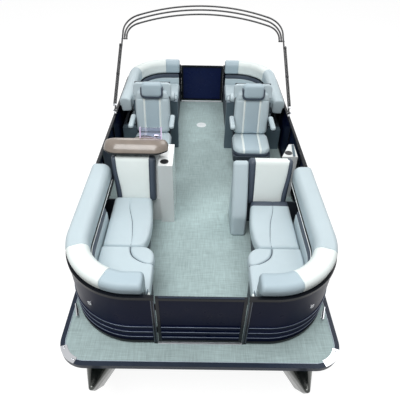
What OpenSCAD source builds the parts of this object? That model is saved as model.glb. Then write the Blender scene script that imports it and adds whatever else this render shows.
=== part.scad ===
// Pontoon boat with two lounges in the bow, two in the stern, a helm and two chairs.
// Millimetres. The bow points along -Y, port is +X, and the boat stands on its keels at z = 0.

/* [Deck] */
// Length of the deck, from the bow edge to the end of the swim platform
deck_len = 5960; // [5700:20:7200]
// Width of the deck over its edge trim
deck_w = 2590; // [2400:10:3000]
// Height of the deck's walking surface above the keels
deck_h = 820; // [760:10:1000]
// Thickness of the deck boards with their vinyl
deck_t = 30; // [20:1:40]
// Radius of the deck's bow corners
deck_bow_r = 265; // [150:5:400]
// Radius of the deck's stern corners
deck_stern_r = 150; // [80:5:300]
// Thickness of the edge trim
trim_t = 14; // [8:1:20]
// Width of the motor well cut out of the platform
well_w = 700; // [500:10:900]
// Length of the motor well
well_len = 330; // [200:10:400]

/* [Pontoons] */
// Diameter of each pontoon tube
tube_d = 635; // [560:5:690]
// Distance of a tube's centre line from the middle of the boat
tube_x = 963; // [900:1:1010]
// Height of the keel strip under a tube
keel_h = 22; // [15:1:35]
// Width of the keel strip
keel_w = 40; // [20:1:60]
// Length of a nose cone, from the full tube to its prow
nose_len = 800; // [600:10:1000]
// How far the prow reaches ahead of the deck
nose_reach = 130; // [60:5:180]
// Thickness of the prow plate
prow_w = 84; // [60:1:120]
// Distance from the end of the tubes to the end of the deck
tube_short = 300; // [200:10:500]
// Spacing of the cross members under the deck
member_pitch = 610; // [400:5:700]
// Width of a cross member
member_w = 40; // [25:1:60]
// Height of a cross member
member_h = 76; // [50:1:90]

/* [Fence] */
// Width over the fence
fence_w = 2500; // [2300:10:2560]
// Distance from the deck's bow edge to the fence
fence_front = 220; // [150:5:300]
// Distance from the fence's stern to the end of the platform
platform_len = 760; // [600:10:900]
// Height of the fence above the deck
fence_h = 700; // [620:5:800]
// Outer radius of the fence's corners
fence_r = 650; // [560:5:700]
// Size of the square rail tube
rail = 32; // [25:1:38]
// Gap between the deck and the lowest rail
fence_lift = 20; // [10:1:40]
// Thickness of the fence skin
skin_t = 5; // [3:0.5:8]
// Height of one rib pressed in the skin
rib_h = 26; // [15:1:40]
// How far a rib stands out of the skin
rib_out = 9; // [5:1:12]
// Width of the bow doorway between its posts
bow_door_w = 780; // [700:5:860]
// Width of the stern doorway between its posts
stern_door_w = 760; // [700:5:860]
// Gap beside a gate
gate_gap = 10; // [8:1:15]

/* [Lounges] */
// Height of the lounge bases above the deck
base_h = 340; // [300:5:380]
// Wall thickness of the lounge bases
base_wall = 12; // [8:1:20]
// Width of the rim round a lounge base's mouth, which carries the seat
rim_w = 40; // [30:1:60]
// Thickness of a seat cushion
cushion_t = 112; // [90:1:130]
// Gap between a soft piece and its neighbour
soft_gap = 0.3; // [0.2:0.1:1]
// Width of the side roll, from the fence inwards
roll_w = 215; // [190:5:225]
// Height of the roll's top above the deck
roll_top = 825; // [780:5:860]
// Thickness of the roll
roll_t = 215; // [180:5:230]
// Distance from the fence to the front of the side pad under the roll
pad_in = 240; // [230:5:260]
// Distance of the bow lounges' aisle side from the middle
bow_aisle = 510; // [480:5:600]
// Distance of the stern lounges' aisle side from the middle
stern_aisle = 400; // [395:5:500]
// End of the bow lounges, from the deck's bow edge
bow_lounge_end = 1790; // [1600:10:1900]
// Seam between corner cushion and lid cushion in the bow
bow_seam = 1020; // [960:5:1200]
// Length of the stern lounges, from the fence's stern
stern_lounge_len = 1540; // [1400:10:1700]
// Length of the stern corner cushions, from the fence's stern
stern_seam_len = 680; // [660:5:800]
// Lean of the bow backrests
back_lean = 17; // [5:1:20]
// Thickness of a bow backrest
back_t = 105; // [80:1:120]
// Height of a bow backrest along its lean
back_h = 540; // [450:5:570]

/* [Console] */
// Distance of the console's outer side from the middle of the boat
console_out = 1000; // [900:5:1005]
// Distance of the console's inner side from the middle of the boat
console_in = 480; // [440:5:520]
// Width of the shelf on the console's inner side
shelf_w = 150; // [140:5:170]
// Height of that shelf above the deck
shelf_h = 850; // [700:5:870]
// Depth of the console at its foot
console_d = 470; // [400:5:520]
// Height of the dash above the deck
dash_h = 930; // [900:5:960]
// Wall thickness of the console
console_wall = 12; // [8:1:20]
// Radius of a cup holder
cup_r = 39; // [34:0.5:44]
// Depth of a cup holder
cup_depth = 75; // [50:1:100]
// Radius of the steering wheel's rim, at the middle of its section
wheel_r = 165; // [140:1:180]
// Thickness of the steering wheel's rim
wheel_t = 26; // [20:1:30]
// Lean of the steering wheel
wheel_lean = 25; // [10:1:40]

/* [Chairs] */
// Distance of a chair's pedestal from the middle of the boat
chair_x = 685; // [640:5:700]
// Distance from the bow edge to the pedestals
chair_y = 2990; // [2950:10:3010]
// Height of a chair's seat above the deck
chair_h = 492; // [440:2:520]
// Width of a chair's seat
chair_w = 505; // [440:5:520]
// Depth of a chair's seat
chair_d = 500; // [440:5:520]
// Length of a chair's back, along its lean
chair_back_h = 700; // [600:5:720]
// Lean of a chair's back
chair_lean = 10; // [0:1:14]

/* [Bimini frame] */
// Distance from the bow edge to the frame's hinges
bimini_y = 3350; // [3300:10:3420]
// Diameter of the frame's tube
bimini_d = 25; // [22:0.5:27]
// Length of the main hoop, from its hinge to its crown
hoop_len = 1940; // [1700:10:2100]
// Radius of a hoop's corners
hoop_corner = 350; // [250:5:400]
// Radius of a hoop's crown
hoop_crown = 2600; // [2400:50:4000]
// Lean of the folded frame towards the stern
hoop_lean = 60; // [40:1:70]
// Distance from the main hoop's crown down to the pivot of the other two
pivot_drop = 670; // [650:10:900]
// Radius of the pins
pin_r = 4; // [3:0.5:5]

/* [Fittings] */
// Radius of the table socket's bore
socket_r = 30; // [25:0.5:35]
// Depth of the table socket
socket_depth = 55; // [40:1:70]
// Distance from the fence's stern to the table socket
socket_back = 920; // [800:10:1100]
// Length of the boarding ladder
ladder_len = 560; // [450:10:600]
// Width of the boarding ladder
ladder_w = 400; // [300:10:450]
// Radius of the motor's bolt holes in the transom
bolt_r = 6.5; // [5:0.5:8]

/* [Hidden] */

$fn = 48;
// Play between a pin and its bore
pin_play = 0.05;
// The ladder's hinge: its tube, its distance from the deck's edge and the wall of its brackets
ladder_tube = 25;
ladder_off = 8;
bracket_wall = 6;
stern_reach = ladder_off + ladder_tube + bracket_wall;
// The middle of the boat's length, from the prows to the ladder's brackets
y_mid = (deck_len + stern_reach - nose_reach) / 2;
fence_end = deck_len - platform_len;
deck_top = deck_h;
tube_r = tube_d / 2;
tube_z = keel_h + tube_r;
tube_end = deck_len - tube_short;
tube_start = nose_len - nose_reach;
member_top = deck_h - deck_t;
member_bottom = member_top - member_h;
half_fence = fence_w / 2;
// Centres of the fence's corners
corner_x = half_fence - fence_r;
bow_corner_y = fence_front + fence_r;
stern_corner_y = fence_end - fence_r;
// Lounge heights
cushion_bottom = base_h + soft_gap;
cushion_top = cushion_bottom + cushion_t;
roll_bottom = roll_top - roll_t;
console_front = bow_lounge_end + 95;
console_back = console_front + console_d;
lid_out = half_fence - pad_in - 10;
lid_hinge_x = lid_out + 5;
lid_hinge_z = cushion_top + 5;
stern_lounge_start = fence_end - stern_lounge_len;
stern_seam = fence_end - stern_seam_len;
// Gate leaves
gate_bottom = fence_lift + 10;
gate_tube = 28;
knuckle_r = 7;
knuckle_h = 26;
knuckle_back = knuckle_r + 1;
slate = [0.30, 0.36, 0.42];
frame_black = [0.07, 0.08, 0.10];
navy = [0.05, 0.08, 0.22];
chrome = [0.90, 0.91, 0.92];
charcoal = [0.18, 0.20, 0.23];
vinyl = [0.80, 0.85, 0.87];

// ---- helpers ----

// Everything is drawn with y counted from the deck's bow edge and then centred
module boat(z = 0) translate([0, -y_mid, z]) children();

module on_deck() boat(deck_top) children();

module starboard() mirror([1, 0, 0]) children();

module both_sides() {
    children();
    starboard() children();
}

// A block between two corners
module block(low, high) translate(low) cube(high - low);

// A quarter disc of the boat's outline, between two heights
module quarter(r, z0, z1, turn)
    translate([0, 0, z0])
        rotate([0, 0, turn])
            rotate_extrude(angle = 90, $fn = 96)
                square([r, z1 - z0]);

// Runs a profile round one bow corner on the port side. The profile's x is the distance inwards
// from the fence's outer face and its y is the height above the deck.
module bow_run(x_start, y_stop) {
    translate([x_start, fence_front, 0])
        rotate([90, 0, 90])
            linear_extrude(corner_x - x_start)
                children();
    translate([corner_x, bow_corner_y, 0])
        rotate([0, 0, -90])
            rotate_extrude(angle = 90, $fn = 96)
                translate([fence_r, 0])
                    mirror([1, 0])
                        children();
    side_run(bow_corner_y, y_stop) children();
}

// Runs a profile along the port side
module side_run(y_start, y_stop)
    translate([half_fence, y_stop, 0])
        rotate([90, 0, 0])
            linear_extrude(y_stop - y_start)
                mirror([1, 0])
                    children();

// Runs a profile round the port stern corner
module stern_run(x_stop, y_start) {
    side_run(y_start, stern_corner_y) children();
    translate([corner_x, stern_corner_y, 0])
        rotate_extrude(angle = 90, $fn = 96)
            translate([fence_r, 0])
                mirror([1, 0])
                    children();
    translate([x_stop, fence_end, 0])
        rotate([90, 0, 90])
            linear_extrude(corner_x - x_stop)
                mirror([1, 0])
                    children();
}

// A lounge's outline on the port bow, kept a distance inside the fence
module bow_block(inset, x_aisle, y_stop, z0, z1) {
    block([x_aisle, fence_front + inset, z0], [corner_x, y_stop, z1]);
    block([corner_x, bow_corner_y, z0], [half_fence - inset, y_stop, z1]);
    translate([corner_x, bow_corner_y, 0]) quarter(fence_r - inset, z0, z1, -90);
}

// The same on the port stern
module stern_block(inset, x_aisle, y_start, z0, z1) {
    block([x_aisle, y_start, z0], [corner_x, fence_end - inset, z1]);
    block([corner_x, y_start, z0], [half_fence - inset, stern_corner_y, z1]);
    translate([corner_x, stern_corner_y, 0]) quarter(fence_r - inset, z0, z1, 0);
}

// A flat plate with the deck's outline, kept a distance inside it
module deck_block(inset, z0, z1) {
    x = deck_w / 2 - inset;
    rb = deck_bow_r - inset;
    rs = deck_stern_r - inset;
    block([-x, deck_bow_r, z0], [x, deck_len - deck_stern_r, z1]);
    block([-x + rb, inset, z0], [x - rb, deck_bow_r, z1]);
    block([-x + rs, deck_len - deck_stern_r, z0], [x - rs, deck_len - inset, z1]);
    both_sides() {
        translate([x - rb, deck_bow_r, 0]) quarter(rb, z0, z1, -90);
        translate([x - rs, deck_len - deck_stern_r, 0]) quarter(rs, z0, z1, 0);
    }
}

// A pad that leans towards the stern, from the middle of its lower front edge
module leaning_pad(w, t, h, lean)
    rotate([-lean, 0, 0])
        translate([-w / 2, 0, 0])
            cube([w, t, h]);

// ---- hull ----

riser_x = 120;
riser_t = 6;
module pontoon() {
    color([0.80, 0.82, 0.84])
        boat()
            union() {
                translate([tube_x, tube_start, tube_z])
                    rotate([-90, 0, 0])
                        cylinder(r = tube_r, h = tube_end - tube_start);
                block([tube_x - keel_w / 2, tube_start, 0],
                      [tube_x + keel_w / 2, tube_end, keel_h + 6]);
                for (side = [-1, 1])
                    block([tube_x + side * riser_x - riser_t / 2, tube_start, tube_z + tube_r * 0.8],
                          [tube_x + side * riser_x + riser_t / 2, tube_end, member_bottom]);
            }
}

module pontoon_port() pontoon();

module pontoon_starboard() starboard() pontoon();

// The stem of a nose cone: how far each point lies behind the prow, and how far above the keel
// as shares of the cone's length and the tube's diameter
stem = [[0, 0.96], [0.05, 0.80], [0.22, 0.45], [0.50, 0.15]];
function stem_r(p) = prow_w / 2 * (1 - 0.35 * p[1]);
module nose_cones() {
    color([0.86, 0.88, 0.90])
        boat()
            both_sides()
                hull() {
                    translate([tube_x, tube_start - 1, tube_z])
                        rotate([-90, 0, 0])
                            cylinder(r = tube_r, h = 1, $fn = 64);
                    for (p = stem)
                        translate([tube_x, -nose_reach + stem_r(p) + p[0] * nose_len,
                                   keel_h + p[1] * tube_d])
                            sphere(r = stem_r(p), $fn = 24);
                }
}

member_count = floor((tube_end - tube_start - member_w) / member_pitch) + 1;
module cross_members() {
    color([0.70, 0.72, 0.74])
        boat()
            for (i = [0 : member_count - 1])
                block([-deck_w / 2 + 60, tube_start + i * member_pitch, member_bottom],
                      [deck_w / 2 - 60, tube_start + i * member_pitch + member_w, member_top]);
}

socket_y = fence_end - socket_back;
socket_wall = 8;
module deck() {
    color([0.62, 0.68, 0.68])
        boat()
            difference() {
                deck_block(trim_t, deck_h - deck_t, deck_h);
                block([-well_w / 2, deck_len - well_len, 0], [well_w / 2, deck_len + 1, deck_h + 1]);
                translate([0, socket_y, 0])
                    cylinder(r = socket_r + socket_wall, h = deck_h + 1);
            }
}

trim_drop = 48;
trim_rise = 3;
module deck_edge_trim() {
    color(slate)
        boat()
            difference() {
                deck_block(0, deck_h - trim_drop, deck_h + trim_rise);
                deck_block(trim_t, 0, deck_h + trim_rise + 1);
                block([-well_w / 2, deck_len - well_len, 0],
                      [well_w / 2, deck_len + 1, deck_h + trim_rise + 1]);
            }
}

// The ladder hinges on two brackets on the stern edge, to port of the motor well
ladder_x = 820;
ladder_hinge_z = 24;
ladder_hinge_y = deck_len + ladder_off + ladder_tube / 2;
bracket_w = 30;
bracket_in = 50;
module ladder_brackets() {
    color(slate)
        on_deck()
            for (side = [-1, 1])
                translate([ladder_x + side * (ladder_w / 2 - bracket_in), 0, 0])
                    difference() {
                        block([-bracket_w / 2, deck_len, -trim_drop],
                              [bracket_w / 2, deck_len + stern_reach,
                               ladder_hinge_z + ladder_tube / 2 + bracket_wall]);
                        translate([-bracket_w / 2 - 1, ladder_hinge_y, ladder_hinge_z])
                            rotate([0, 90, 0])
                                cylinder(r = ladder_tube / 2 + pin_play, h = bracket_w + 2);
                    }
}

cap_t = 4;
cap_angle = 50;
module corner_caps() {
    color(chrome)
        boat()
            both_sides()
                translate([deck_w / 2 - deck_bow_r, deck_bow_r, deck_h + trim_rise])
                    rotate([0, 0, -45 - cap_angle / 2])
                        rotate_extrude(angle = cap_angle, $fn = 96)
                            translate([deck_bow_r - 60, 0])
                                square([60, cap_t]);
}

// Cleats: distance from the middle, from the bow edge, and the turn of the horns
cleat_bow = [1215, 540, -20];
cleat_stern = [1215, 330, 0];
module cleat() {
    block([-14, -45, 0], [14, 45, 8]);
    for (y = [-25, 25])
        translate([0, y, 8])
            cylinder(r = 8, h = 24);
    translate([0, -75, 38])
        rotate([-90, 0, 0])
            cylinder(r = 9, h = 150);
}

module cleats() {
    color(chrome)
        on_deck()
            both_sides() {
                translate([cleat_bow[0], cleat_bow[1], 0])
                    rotate([0, 0, cleat_bow[2]])
                        cleat();
                translate([cleat_stern[0], deck_len - cleat_stern[1], 0])
                    rotate([0, 0, cleat_stern[2]])
                        cleat();
            }
}

pod_w = 560;
pod_len = 1300;
pod_bottom = 260;
transom_t = 45;
transom_rise = 40;
bolt_across = 327;
bolt_up = 203;
bolt_drop = 60;
transom_y = deck_len - well_len + transom_t;
module motor_pod() {
    color([0.72, 0.74, 0.76])
        boat()
            difference() {
                union() {
                    rotate([90, 0, 90])
                        translate([0, 0, -pod_w / 2])
                            linear_extrude(pod_w)
                                polygon([[transom_y - pod_len, member_bottom],
                                         [transom_y - pod_len + 350, pod_bottom],
                                         [transom_y - transom_t, pod_bottom],
                                         [transom_y - transom_t, member_bottom]]);
                    block([-pod_w / 2, transom_y - transom_t, pod_bottom],
                          [pod_w / 2, transom_y, deck_h + transom_rise]);
                }
                for (x = [-1, 1])
                    for (z = [0, 1])
                        translate([x * bolt_across / 2, transom_y - transom_t - 1,
                                   deck_h + transom_rise - bolt_drop - z * bolt_up])
                            rotate([-90, 0, 0])
                                cylinder(r = bolt_r, h = transom_t + 2);
            }
}

socket_flange_r = 82;
socket_flange_t = 4;
module table_socket() {
    color([0.88, 0.89, 0.90])
        on_deck()
            translate([0, socket_y, 0])
                difference() {
                    union() {
                        cylinder(r = socket_flange_r, h = socket_flange_t);
                        translate([0, 0, -socket_depth - socket_wall])
                            cylinder(r = socket_r + socket_wall - soft_gap,
                                     h = socket_depth + socket_wall);
                    }
                    translate([0, 0, -socket_depth])
                        cylinder(r = socket_r, h = socket_depth + socket_flange_t + 1);
                }
}

// The ladder lies folded on the platform and swings over the stern edge
ladder_steps = 3;
module boarding_ladder() {
    color([0.84, 0.85, 0.86])
        on_deck()
            translate([ladder_x, ladder_hinge_y, ladder_hinge_z])
                union() {
                    for (side = [-1, 1])
                        translate([side * ladder_w / 2, 0, 0])
                            rotate([90, 0, 0])
                                cylinder(d = ladder_tube, h = ladder_len);
                    for (i = [1 : ladder_steps])
                        block([-ladder_w / 2, -i * ladder_len / ladder_steps + 20, -8],
                              [ladder_w / 2, -i * ladder_len / ladder_steps + 80, 8]);
                    translate([-ladder_w / 2, 0, 0])
                        rotate([0, 90, 0])
                            cylinder(d = ladder_tube, h = ladder_w);
                }
}

// ---- fence ----

skin_in = 8;
post_t = 24;
side_posts = [0.0, 0.2, 0.4, 0.6, 0.8, 1.0];
module fence_frame() {
    color(frame_black)
        on_deck()
            union() {
                for (z = [fence_lift, fence_h - rail]) {
                    bow_run(bow_door_w / 2, stern_corner_y) translate([0, z]) square(rail);
                    stern_run(stern_door_w / 2, stern_corner_y - 1) translate([0, z]) square(rail);
                }
                block([bow_door_w / 2, fence_front, 0],
                      [bow_door_w / 2 + rail, fence_front + rail, fence_h]);
                block([stern_door_w / 2, fence_end - rail, 0],
                      [stern_door_w / 2 + rail, fence_end, fence_h]);
                for (share = side_posts)
                    translate([half_fence - rail, bow_corner_y
                               + share * (stern_corner_y - bow_corner_y - post_t), 0])
                        cube([rail - skin_in - skin_t, post_t, fence_h - 1]);
            }
}

module fence_frame_port() fence_frame();

// The gates hang on the starboard posts
module fence_frame_starboard() {
    starboard()
        union() {
            fence_frame();
            color(frame_black)
                on_deck() {
                    post_knuckles(bow_door_w, fence_front + rail, 1);
                    post_knuckles(stern_door_w, fence_end - rail, -1);
                }
        }
}

rib_heights = [95, 175, 255];
module skin_profile() {
    translate([skin_in, fence_lift + rail])
        square([skin_t, fence_h - fence_lift - 2 * rail]);
    for (z = rib_heights)
        translate([skin_in - rib_out, z])
            square([rib_out + 1, rib_h]);
}

module fence_skin() {
    color(navy)
        on_deck()
            union() {
                bow_run(bow_door_w / 2 + rail, stern_corner_y) skin_profile();
                stern_run(stern_door_w / 2 + rail, stern_corner_y - 1) skin_profile();
            }
}

module fence_skin_port() fence_skin();

module fence_skin_starboard() starboard() fence_skin();

// ---- gates ----

hinge_heights = [130, 480];
knuckle_step = knuckle_h + 0.4;
leaf_w = 32;

// Place of a gate's hinge line, seen from its own side
function gate_axis(door) = door / 2 - gate_gap / 2;

// A knuckle and its leaf. The leaf runs from the hinge line to x_end, against the face at y_face.
module knuckle(door, y_face, y_axis, x_end) {
    x = gate_axis(door);
    translate([x, y_axis, 0])
        cylinder(r = knuckle_r, h = knuckle_h, $fn = 32);
    block([min(x, x_end), min(y_face, y_axis), 0], [max(x, x_end), max(y_face, y_axis), knuckle_h]);
}

module post_knuckles(door, y_face, inwards)
    for (z = hinge_heights)
        translate([0, 0, z + knuckle_step])
            knuckle(door, y_face, y_face + inwards * knuckle_back, door / 2 + leaf_w);

module gate_knuckles(door, y_face, y_axis)
    for (z = hinge_heights)
        for (i = [0, 2])
            translate([0, 0, z + i * knuckle_step])
                knuckle(door, y_face, y_axis, gate_axis(door) - leaf_w);

gate_in = (rail - gate_tube) / 2;
gate_top = fence_h - 10;
// A gate's frame fills its doorway; y_low is the lower y of the fence's rail
module gate_frame(door, y_low, inwards) {
    x = door / 2 - gate_gap;
    y = y_low + gate_in;
    y_axis = y_low + rail / 2 + inwards * (rail / 2 + knuckle_back);
    color(frame_black)
        on_deck()
            starboard()
                union() {
                    difference() {
                        block([-x, y, gate_bottom], [x, y + gate_tube, gate_top]);
                        block([-x + gate_tube, y - 1, gate_bottom + gate_tube],
                              [x - gate_tube, y + gate_tube + 1, gate_top - gate_tube]);
                    }
                    gate_knuckles(door, inwards > 0 ? y + gate_tube : y, y_axis);
                }
}

module gate_skin(door, y_low, inwards) {
    x = door / 2 - gate_gap - gate_tube;
    outer = inwards > 0 ? y_low : y_low + rail;
    y = [outer + inwards * skin_in, outer + inwards * (skin_in + skin_t)];
    y_rib = outer + inwards * (skin_in - rib_out);
    color(navy)
        on_deck()
            union() {
                block([-x, min(y), gate_bottom + gate_tube], [x, max(y), gate_top - gate_tube]);
                for (z = rib_heights)
                    block([-x, min(y_rib, y[1]), z], [x, max(y_rib, y[1]), z + rib_h]);
            }
}

module bow_gate_frame() gate_frame(bow_door_w, fence_front, 1);

module bow_gate_skin() gate_skin(bow_door_w, fence_front, 1);

module stern_gate_frame() gate_frame(stern_door_w, fence_end - rail, -1);

module stern_gate_skin() gate_skin(stern_door_w, fence_end - rail, -1);

// ---- lounges ----

base_in = 45;
rim_t = 15;
lid_front_gap = 10;
roll_end_x = 480;
bow_base_end = bow_lounge_end + 90;
bow_roll_end = bow_lounge_end + 140;
lid_aisle_in = 20;
lid_bow_end = bow_lounge_end - 33;
seat_in = pad_in + 5;

module bow_lounge_bases() {
    color(vinyl)
        on_deck()
            both_sides()
                difference() {
                    bow_block(base_in, bow_aisle, bow_base_end, 0, base_h);
                    bow_block(base_in + base_wall, bow_aisle + base_wall, bow_base_end - base_wall,
                              base_wall, base_h - rim_t);
                    bow_block(base_in + rim_w, bow_aisle + rim_w, bow_base_end - rim_w,
                              base_h - rim_t - 1, base_h + 1);
                }
}

// A lid cushion on the port side, between two places along the boat
module lid_cushion(x_aisle, y0, y1) {
    color(vinyl)
        on_deck()
            block([x_aisle, y0, cushion_bottom], [lid_out, y1, cushion_top]);
}

module bow_seat_port()
    lid_cushion(bow_aisle + lid_aisle_in, bow_seam + lid_front_gap, lid_bow_end);

module bow_seat_starboard() starboard() bow_seat_port();

module bow_corner_cushions() {
    color(vinyl)
        on_deck()
            both_sides()
                bow_block(seat_in, bow_aisle - 30, bow_seam, cushion_bottom, cushion_top);
}

back_w = lid_out - bow_aisle - 70;
back_lift = back_t * sin(back_lean);
module bow_backrests() {
    color([0.90, 0.94, 0.94])
        on_deck()
            both_sides()
                translate([lid_out - back_w / 2, bow_lounge_end - 16, cushion_bottom + back_lift])
                    leaning_pad(back_w, back_t, back_h, back_lean);
}

// Section of a side roll and the pad under it, on the lounge base
module roll_profile(outer)
    polygon([[outer, fence_h + soft_gap], [outer, roll_top], [roll_w, roll_top],
             [roll_w, roll_top - roll_t], [pad_in, roll_top - roll_t], [pad_in, cushion_bottom],
             [base_in, cushion_bottom], [base_in, fence_h + soft_gap]]);

module bow_bolster_port() {
    color(vinyl)
        on_deck()
            bow_run(roll_end_x, bow_roll_end) roll_profile(-6);
}

module bow_bolster_starboard() starboard() bow_bolster_port();

// Height and place of the slanting face behind a bow backrest
shell_rise = 520;
shell_slant = shell_rise * tan(back_lean);
shell_top = base_h + shell_rise;
// The port lounge's end: an arm beside the backrest, and a thinner shell behind it
end_t = 60;
arm_in = 350;
arm_w = bow_aisle - arm_in - 5;
arm_h = 850;
arm_kick = 300;
arm_foot_y = bow_lounge_end - 150;
arm_top_y = bow_lounge_end + 155;
arm_back_y = bow_lounge_end + 270;
end_rise = 455;
end_slant = end_rise * tan(back_lean);
end_top = base_h + end_rise;
module port_lounge_end() {
    color(slate)
        on_deck()
            union() {
                translate([arm_in, 0, 0])
                    rotate([90, 0, 90])
                        linear_extrude(arm_w)
                            polygon([[arm_foot_y, 0], [arm_foot_y + 10, arm_kick],
                                     [arm_top_y, arm_h], [arm_top_y + 55, arm_h],
                                     [arm_back_y, 0]]);
                translate([arm_in + arm_w - 1, 0, 0])
                    rotate([90, 0, 90])
                        linear_extrude(console_out - arm_in - arm_w)
                            polygon([[console_front, 0], [console_front, base_h],
                                     [console_front + end_slant, end_top],
                                     [console_front + end_slant + end_t, end_top],
                                     [console_front + end_slant + end_t, 0]]);
            }
}

stern_shell_t = 100;
stern_shell_h = 780;
stern_back_t = 100;
stern_back_top = 860;
stern_shell_y = stern_lounge_start - stern_shell_t;
stern_back_y = stern_lounge_start + soft_gap;
module stern_lounge_bases() {
    color(vinyl)
        on_deck()
            both_sides()
                difference() {
                    stern_block(base_in, stern_aisle, stern_lounge_start, 0, base_h);
                    stern_block(base_in + base_wall, stern_aisle + base_wall,
                                stern_lounge_start + base_wall, base_wall, base_h - rim_t);
                    stern_block(base_in + rim_w, stern_aisle + rim_w, stern_lounge_start + rim_w,
                                base_h - rim_t - 1, base_h + 1);
                }
}

module stern_seat_port()
    lid_cushion(stern_aisle + lid_aisle_in, stern_back_y + stern_back_t + 8,
                stern_seam - lid_front_gap);

module stern_seat_starboard() starboard() stern_seat_port();

module stern_corner_cushions() {
    color(vinyl)
        on_deck()
            both_sides()
                stern_block(seat_in, stern_aisle + 5, stern_seam, cushion_bottom, cushion_top);
}

module stern_bolster_port() {
    color(vinyl)
        on_deck()
            stern_run(stern_aisle, stern_shell_y) roll_profile(base_in);
}

module stern_bolster_starboard() starboard() stern_bolster_port();

module stern_back_shells() {
    color(slate)
        on_deck()
            both_sides()
                union() {
                    block([stern_aisle - 40, stern_shell_y, 0],
                          [lid_out, stern_lounge_start, stern_shell_h]);
                    block([lid_out, stern_shell_y, 0],
                          [half_fence - base_in, stern_lounge_start, base_h]);
                }
}

module stern_back_cushions() {
    color(vinyl)
        on_deck()
            both_sides()
                translate([stern_aisle + 5, 0, 0])
                    rotate([90, 0, 90])
                        linear_extrude(lid_out - stern_aisle - 5)
                            polygon([[stern_shell_y + 5, stern_shell_h + soft_gap],
                                     [stern_shell_y + 5, stern_back_top],
                                     [stern_back_y + stern_back_t, stern_back_top],
                                     [stern_back_y + stern_back_t, cushion_bottom],
                                     [stern_back_y, cushion_bottom],
                                     [stern_back_y, stern_shell_h + soft_gap]]);
}

// ---- helm ----

panel_drop = 130;
panel_run = 200;
foot_low = 60;
foot_high = 520;
foot_side = 40;
console_lean_y = console_front + shell_slant;
shelf_front = console_front - 35;
cup_wall = 16;
cup_y = shelf_front + 85;
cup_x = console_in - cup_wall - cup_r;
wheel_z = 780;
wheel_stand = 50;
shaft_r = 12;

// Side outline of the console, kept a distance inside it
module console_profile(inset)
    polygon([[console_front + inset, -1], [console_front + inset, base_h + inset * 0.3],
             [console_lean_y + inset, shell_top + inset * 0.3],
             [console_lean_y + inset, dash_h - inset],
             [console_back - panel_run - inset * 0.3, dash_h - inset],
             [console_back - inset, dash_h - panel_drop - inset * 0.7],
             [console_back - inset, -1]]);

// Puts things on the steering column, with z along it towards the driver
module on_column()
    translate([-chair_x, console_back + wheel_stand, wheel_z])
        rotate([wheel_lean - 90, 0, 0])
            children();

module console() {
    color([0.93, 0.94, 0.94])
        on_deck()
            difference() {
                union() {
                    translate([-console_out, 0, 0])
                        rotate([90, 0, 90])
                            linear_extrude(console_out - console_in)
                                intersection() {
                                    console_profile(0);
                                    square([deck_len, dash_h]);
                                }
                    block([-console_in - 10, shelf_front, 0],
                          [-console_in + shelf_w, console_back - 60, shelf_h]);
                }
                translate([-console_out + console_wall, 0, 0])
                    rotate([90, 0, 90])
                        linear_extrude(console_out - console_in - 2 * console_wall)
                            console_profile(console_wall);
                block([-console_out + foot_side, console_back - 2 * console_wall, foot_low],
                      [-console_in - foot_side, console_back + 1, foot_high]);
                translate([-cup_x, cup_y, shelf_h - cup_depth])
                    cylinder(r = cup_r, h = cup_depth + 1);
                on_column()
                    translate([0, 0, -150])
                        cylinder(r = shaft_r + pin_play, h = 150);
            }
}

// The cowl spreads past both sides of the dash. Its front corners are cut back in plan, and the
// inner one leaves the way to the cup holder free.
cowl_out = 1112;
cowl_in = 388;
cowl_front = console_front + 50;
cowl_d = 230;
cowl_h = 120;
cowl_cut = 150;
module dash_cowl() {
    color([0.62, 0.56, 0.50])
        on_deck()
            intersection() {
                translate([-cowl_out, 0, 0])
                    rotate([90, 0, 90])
                        linear_extrude(cowl_out - cowl_in)
                            polygon([[cowl_front + 12, dash_h], [cowl_front, dash_h + 30],
                                     [cowl_front + 60, dash_h + cowl_h * 0.8],
                                     [cowl_front + 140, dash_h + cowl_h],
                                     [cowl_front + cowl_d, dash_h + cowl_h / 2],
                                     [cowl_front + cowl_d - 10, dash_h]]);
                translate([0, 0, dash_h - 1])
                    linear_extrude(cowl_h + 2)
                        polygon([[-cowl_out - 1, cowl_front + cowl_cut * 0.6],
                                 [-cowl_out + cowl_cut, cowl_front - 1],
                                 [-cowl_in - cowl_cut, cowl_front - 1],
                                 [-cowl_in + 1, cowl_front + cowl_cut * 0.6],
                                 [-cowl_in + 1, cowl_front + cowl_d + 1],
                                 [-cowl_out - 1, cowl_front + cowl_d + 1]]);
            }
}

hub_r = 38;
spoke_w = 30;
spoke_t = 10;
module steering_wheel() {
    color([0.12, 0.12, 0.13])
        on_deck()
            on_column()
                union() {
                    rotate_extrude($fn = 96)
                        translate([wheel_r, 0])
                            circle(d = wheel_t);
                    for (turn = [90, 210, 330])
                        rotate([0, 0, turn])
                            block([hub_r - 10, -spoke_w / 2, -spoke_t / 2],
                                  [wheel_r, spoke_w / 2, spoke_t / 2]);
                    translate([0, 0, -14])
                        cylinder(r = hub_r, h = 26);
                    translate([0, 0, -wheel_stand - 40])
                        cylinder(r = shaft_r, h = wheel_stand + 30);
                }
}

// The port pod stands by the fence between the lounge's back and the chair, and tapers aft
pod_in = 1000;
pod_out = 1195;
pod_y = 2370;
pod_d = 290;
pod_h = 650;
pod_taper = 130;
port_cup_x = pod_in + 92;
port_cup_y = pod_y + 87;
module port_pod() {
    color([0.93, 0.94, 0.94])
        on_deck()
            difference() {
                linear_extrude(pod_h)
                    polygon([[pod_in, pod_y], [pod_out, pod_y], [pod_out, pod_y + pod_d],
                             [pod_in + pod_taper, pod_y + pod_d]]);
                translate([port_cup_x, port_cup_y, pod_h - cup_depth])
                    cylinder(r = cup_r, h = cup_depth + 1);
            }
}

// ---- chairs ----

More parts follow.
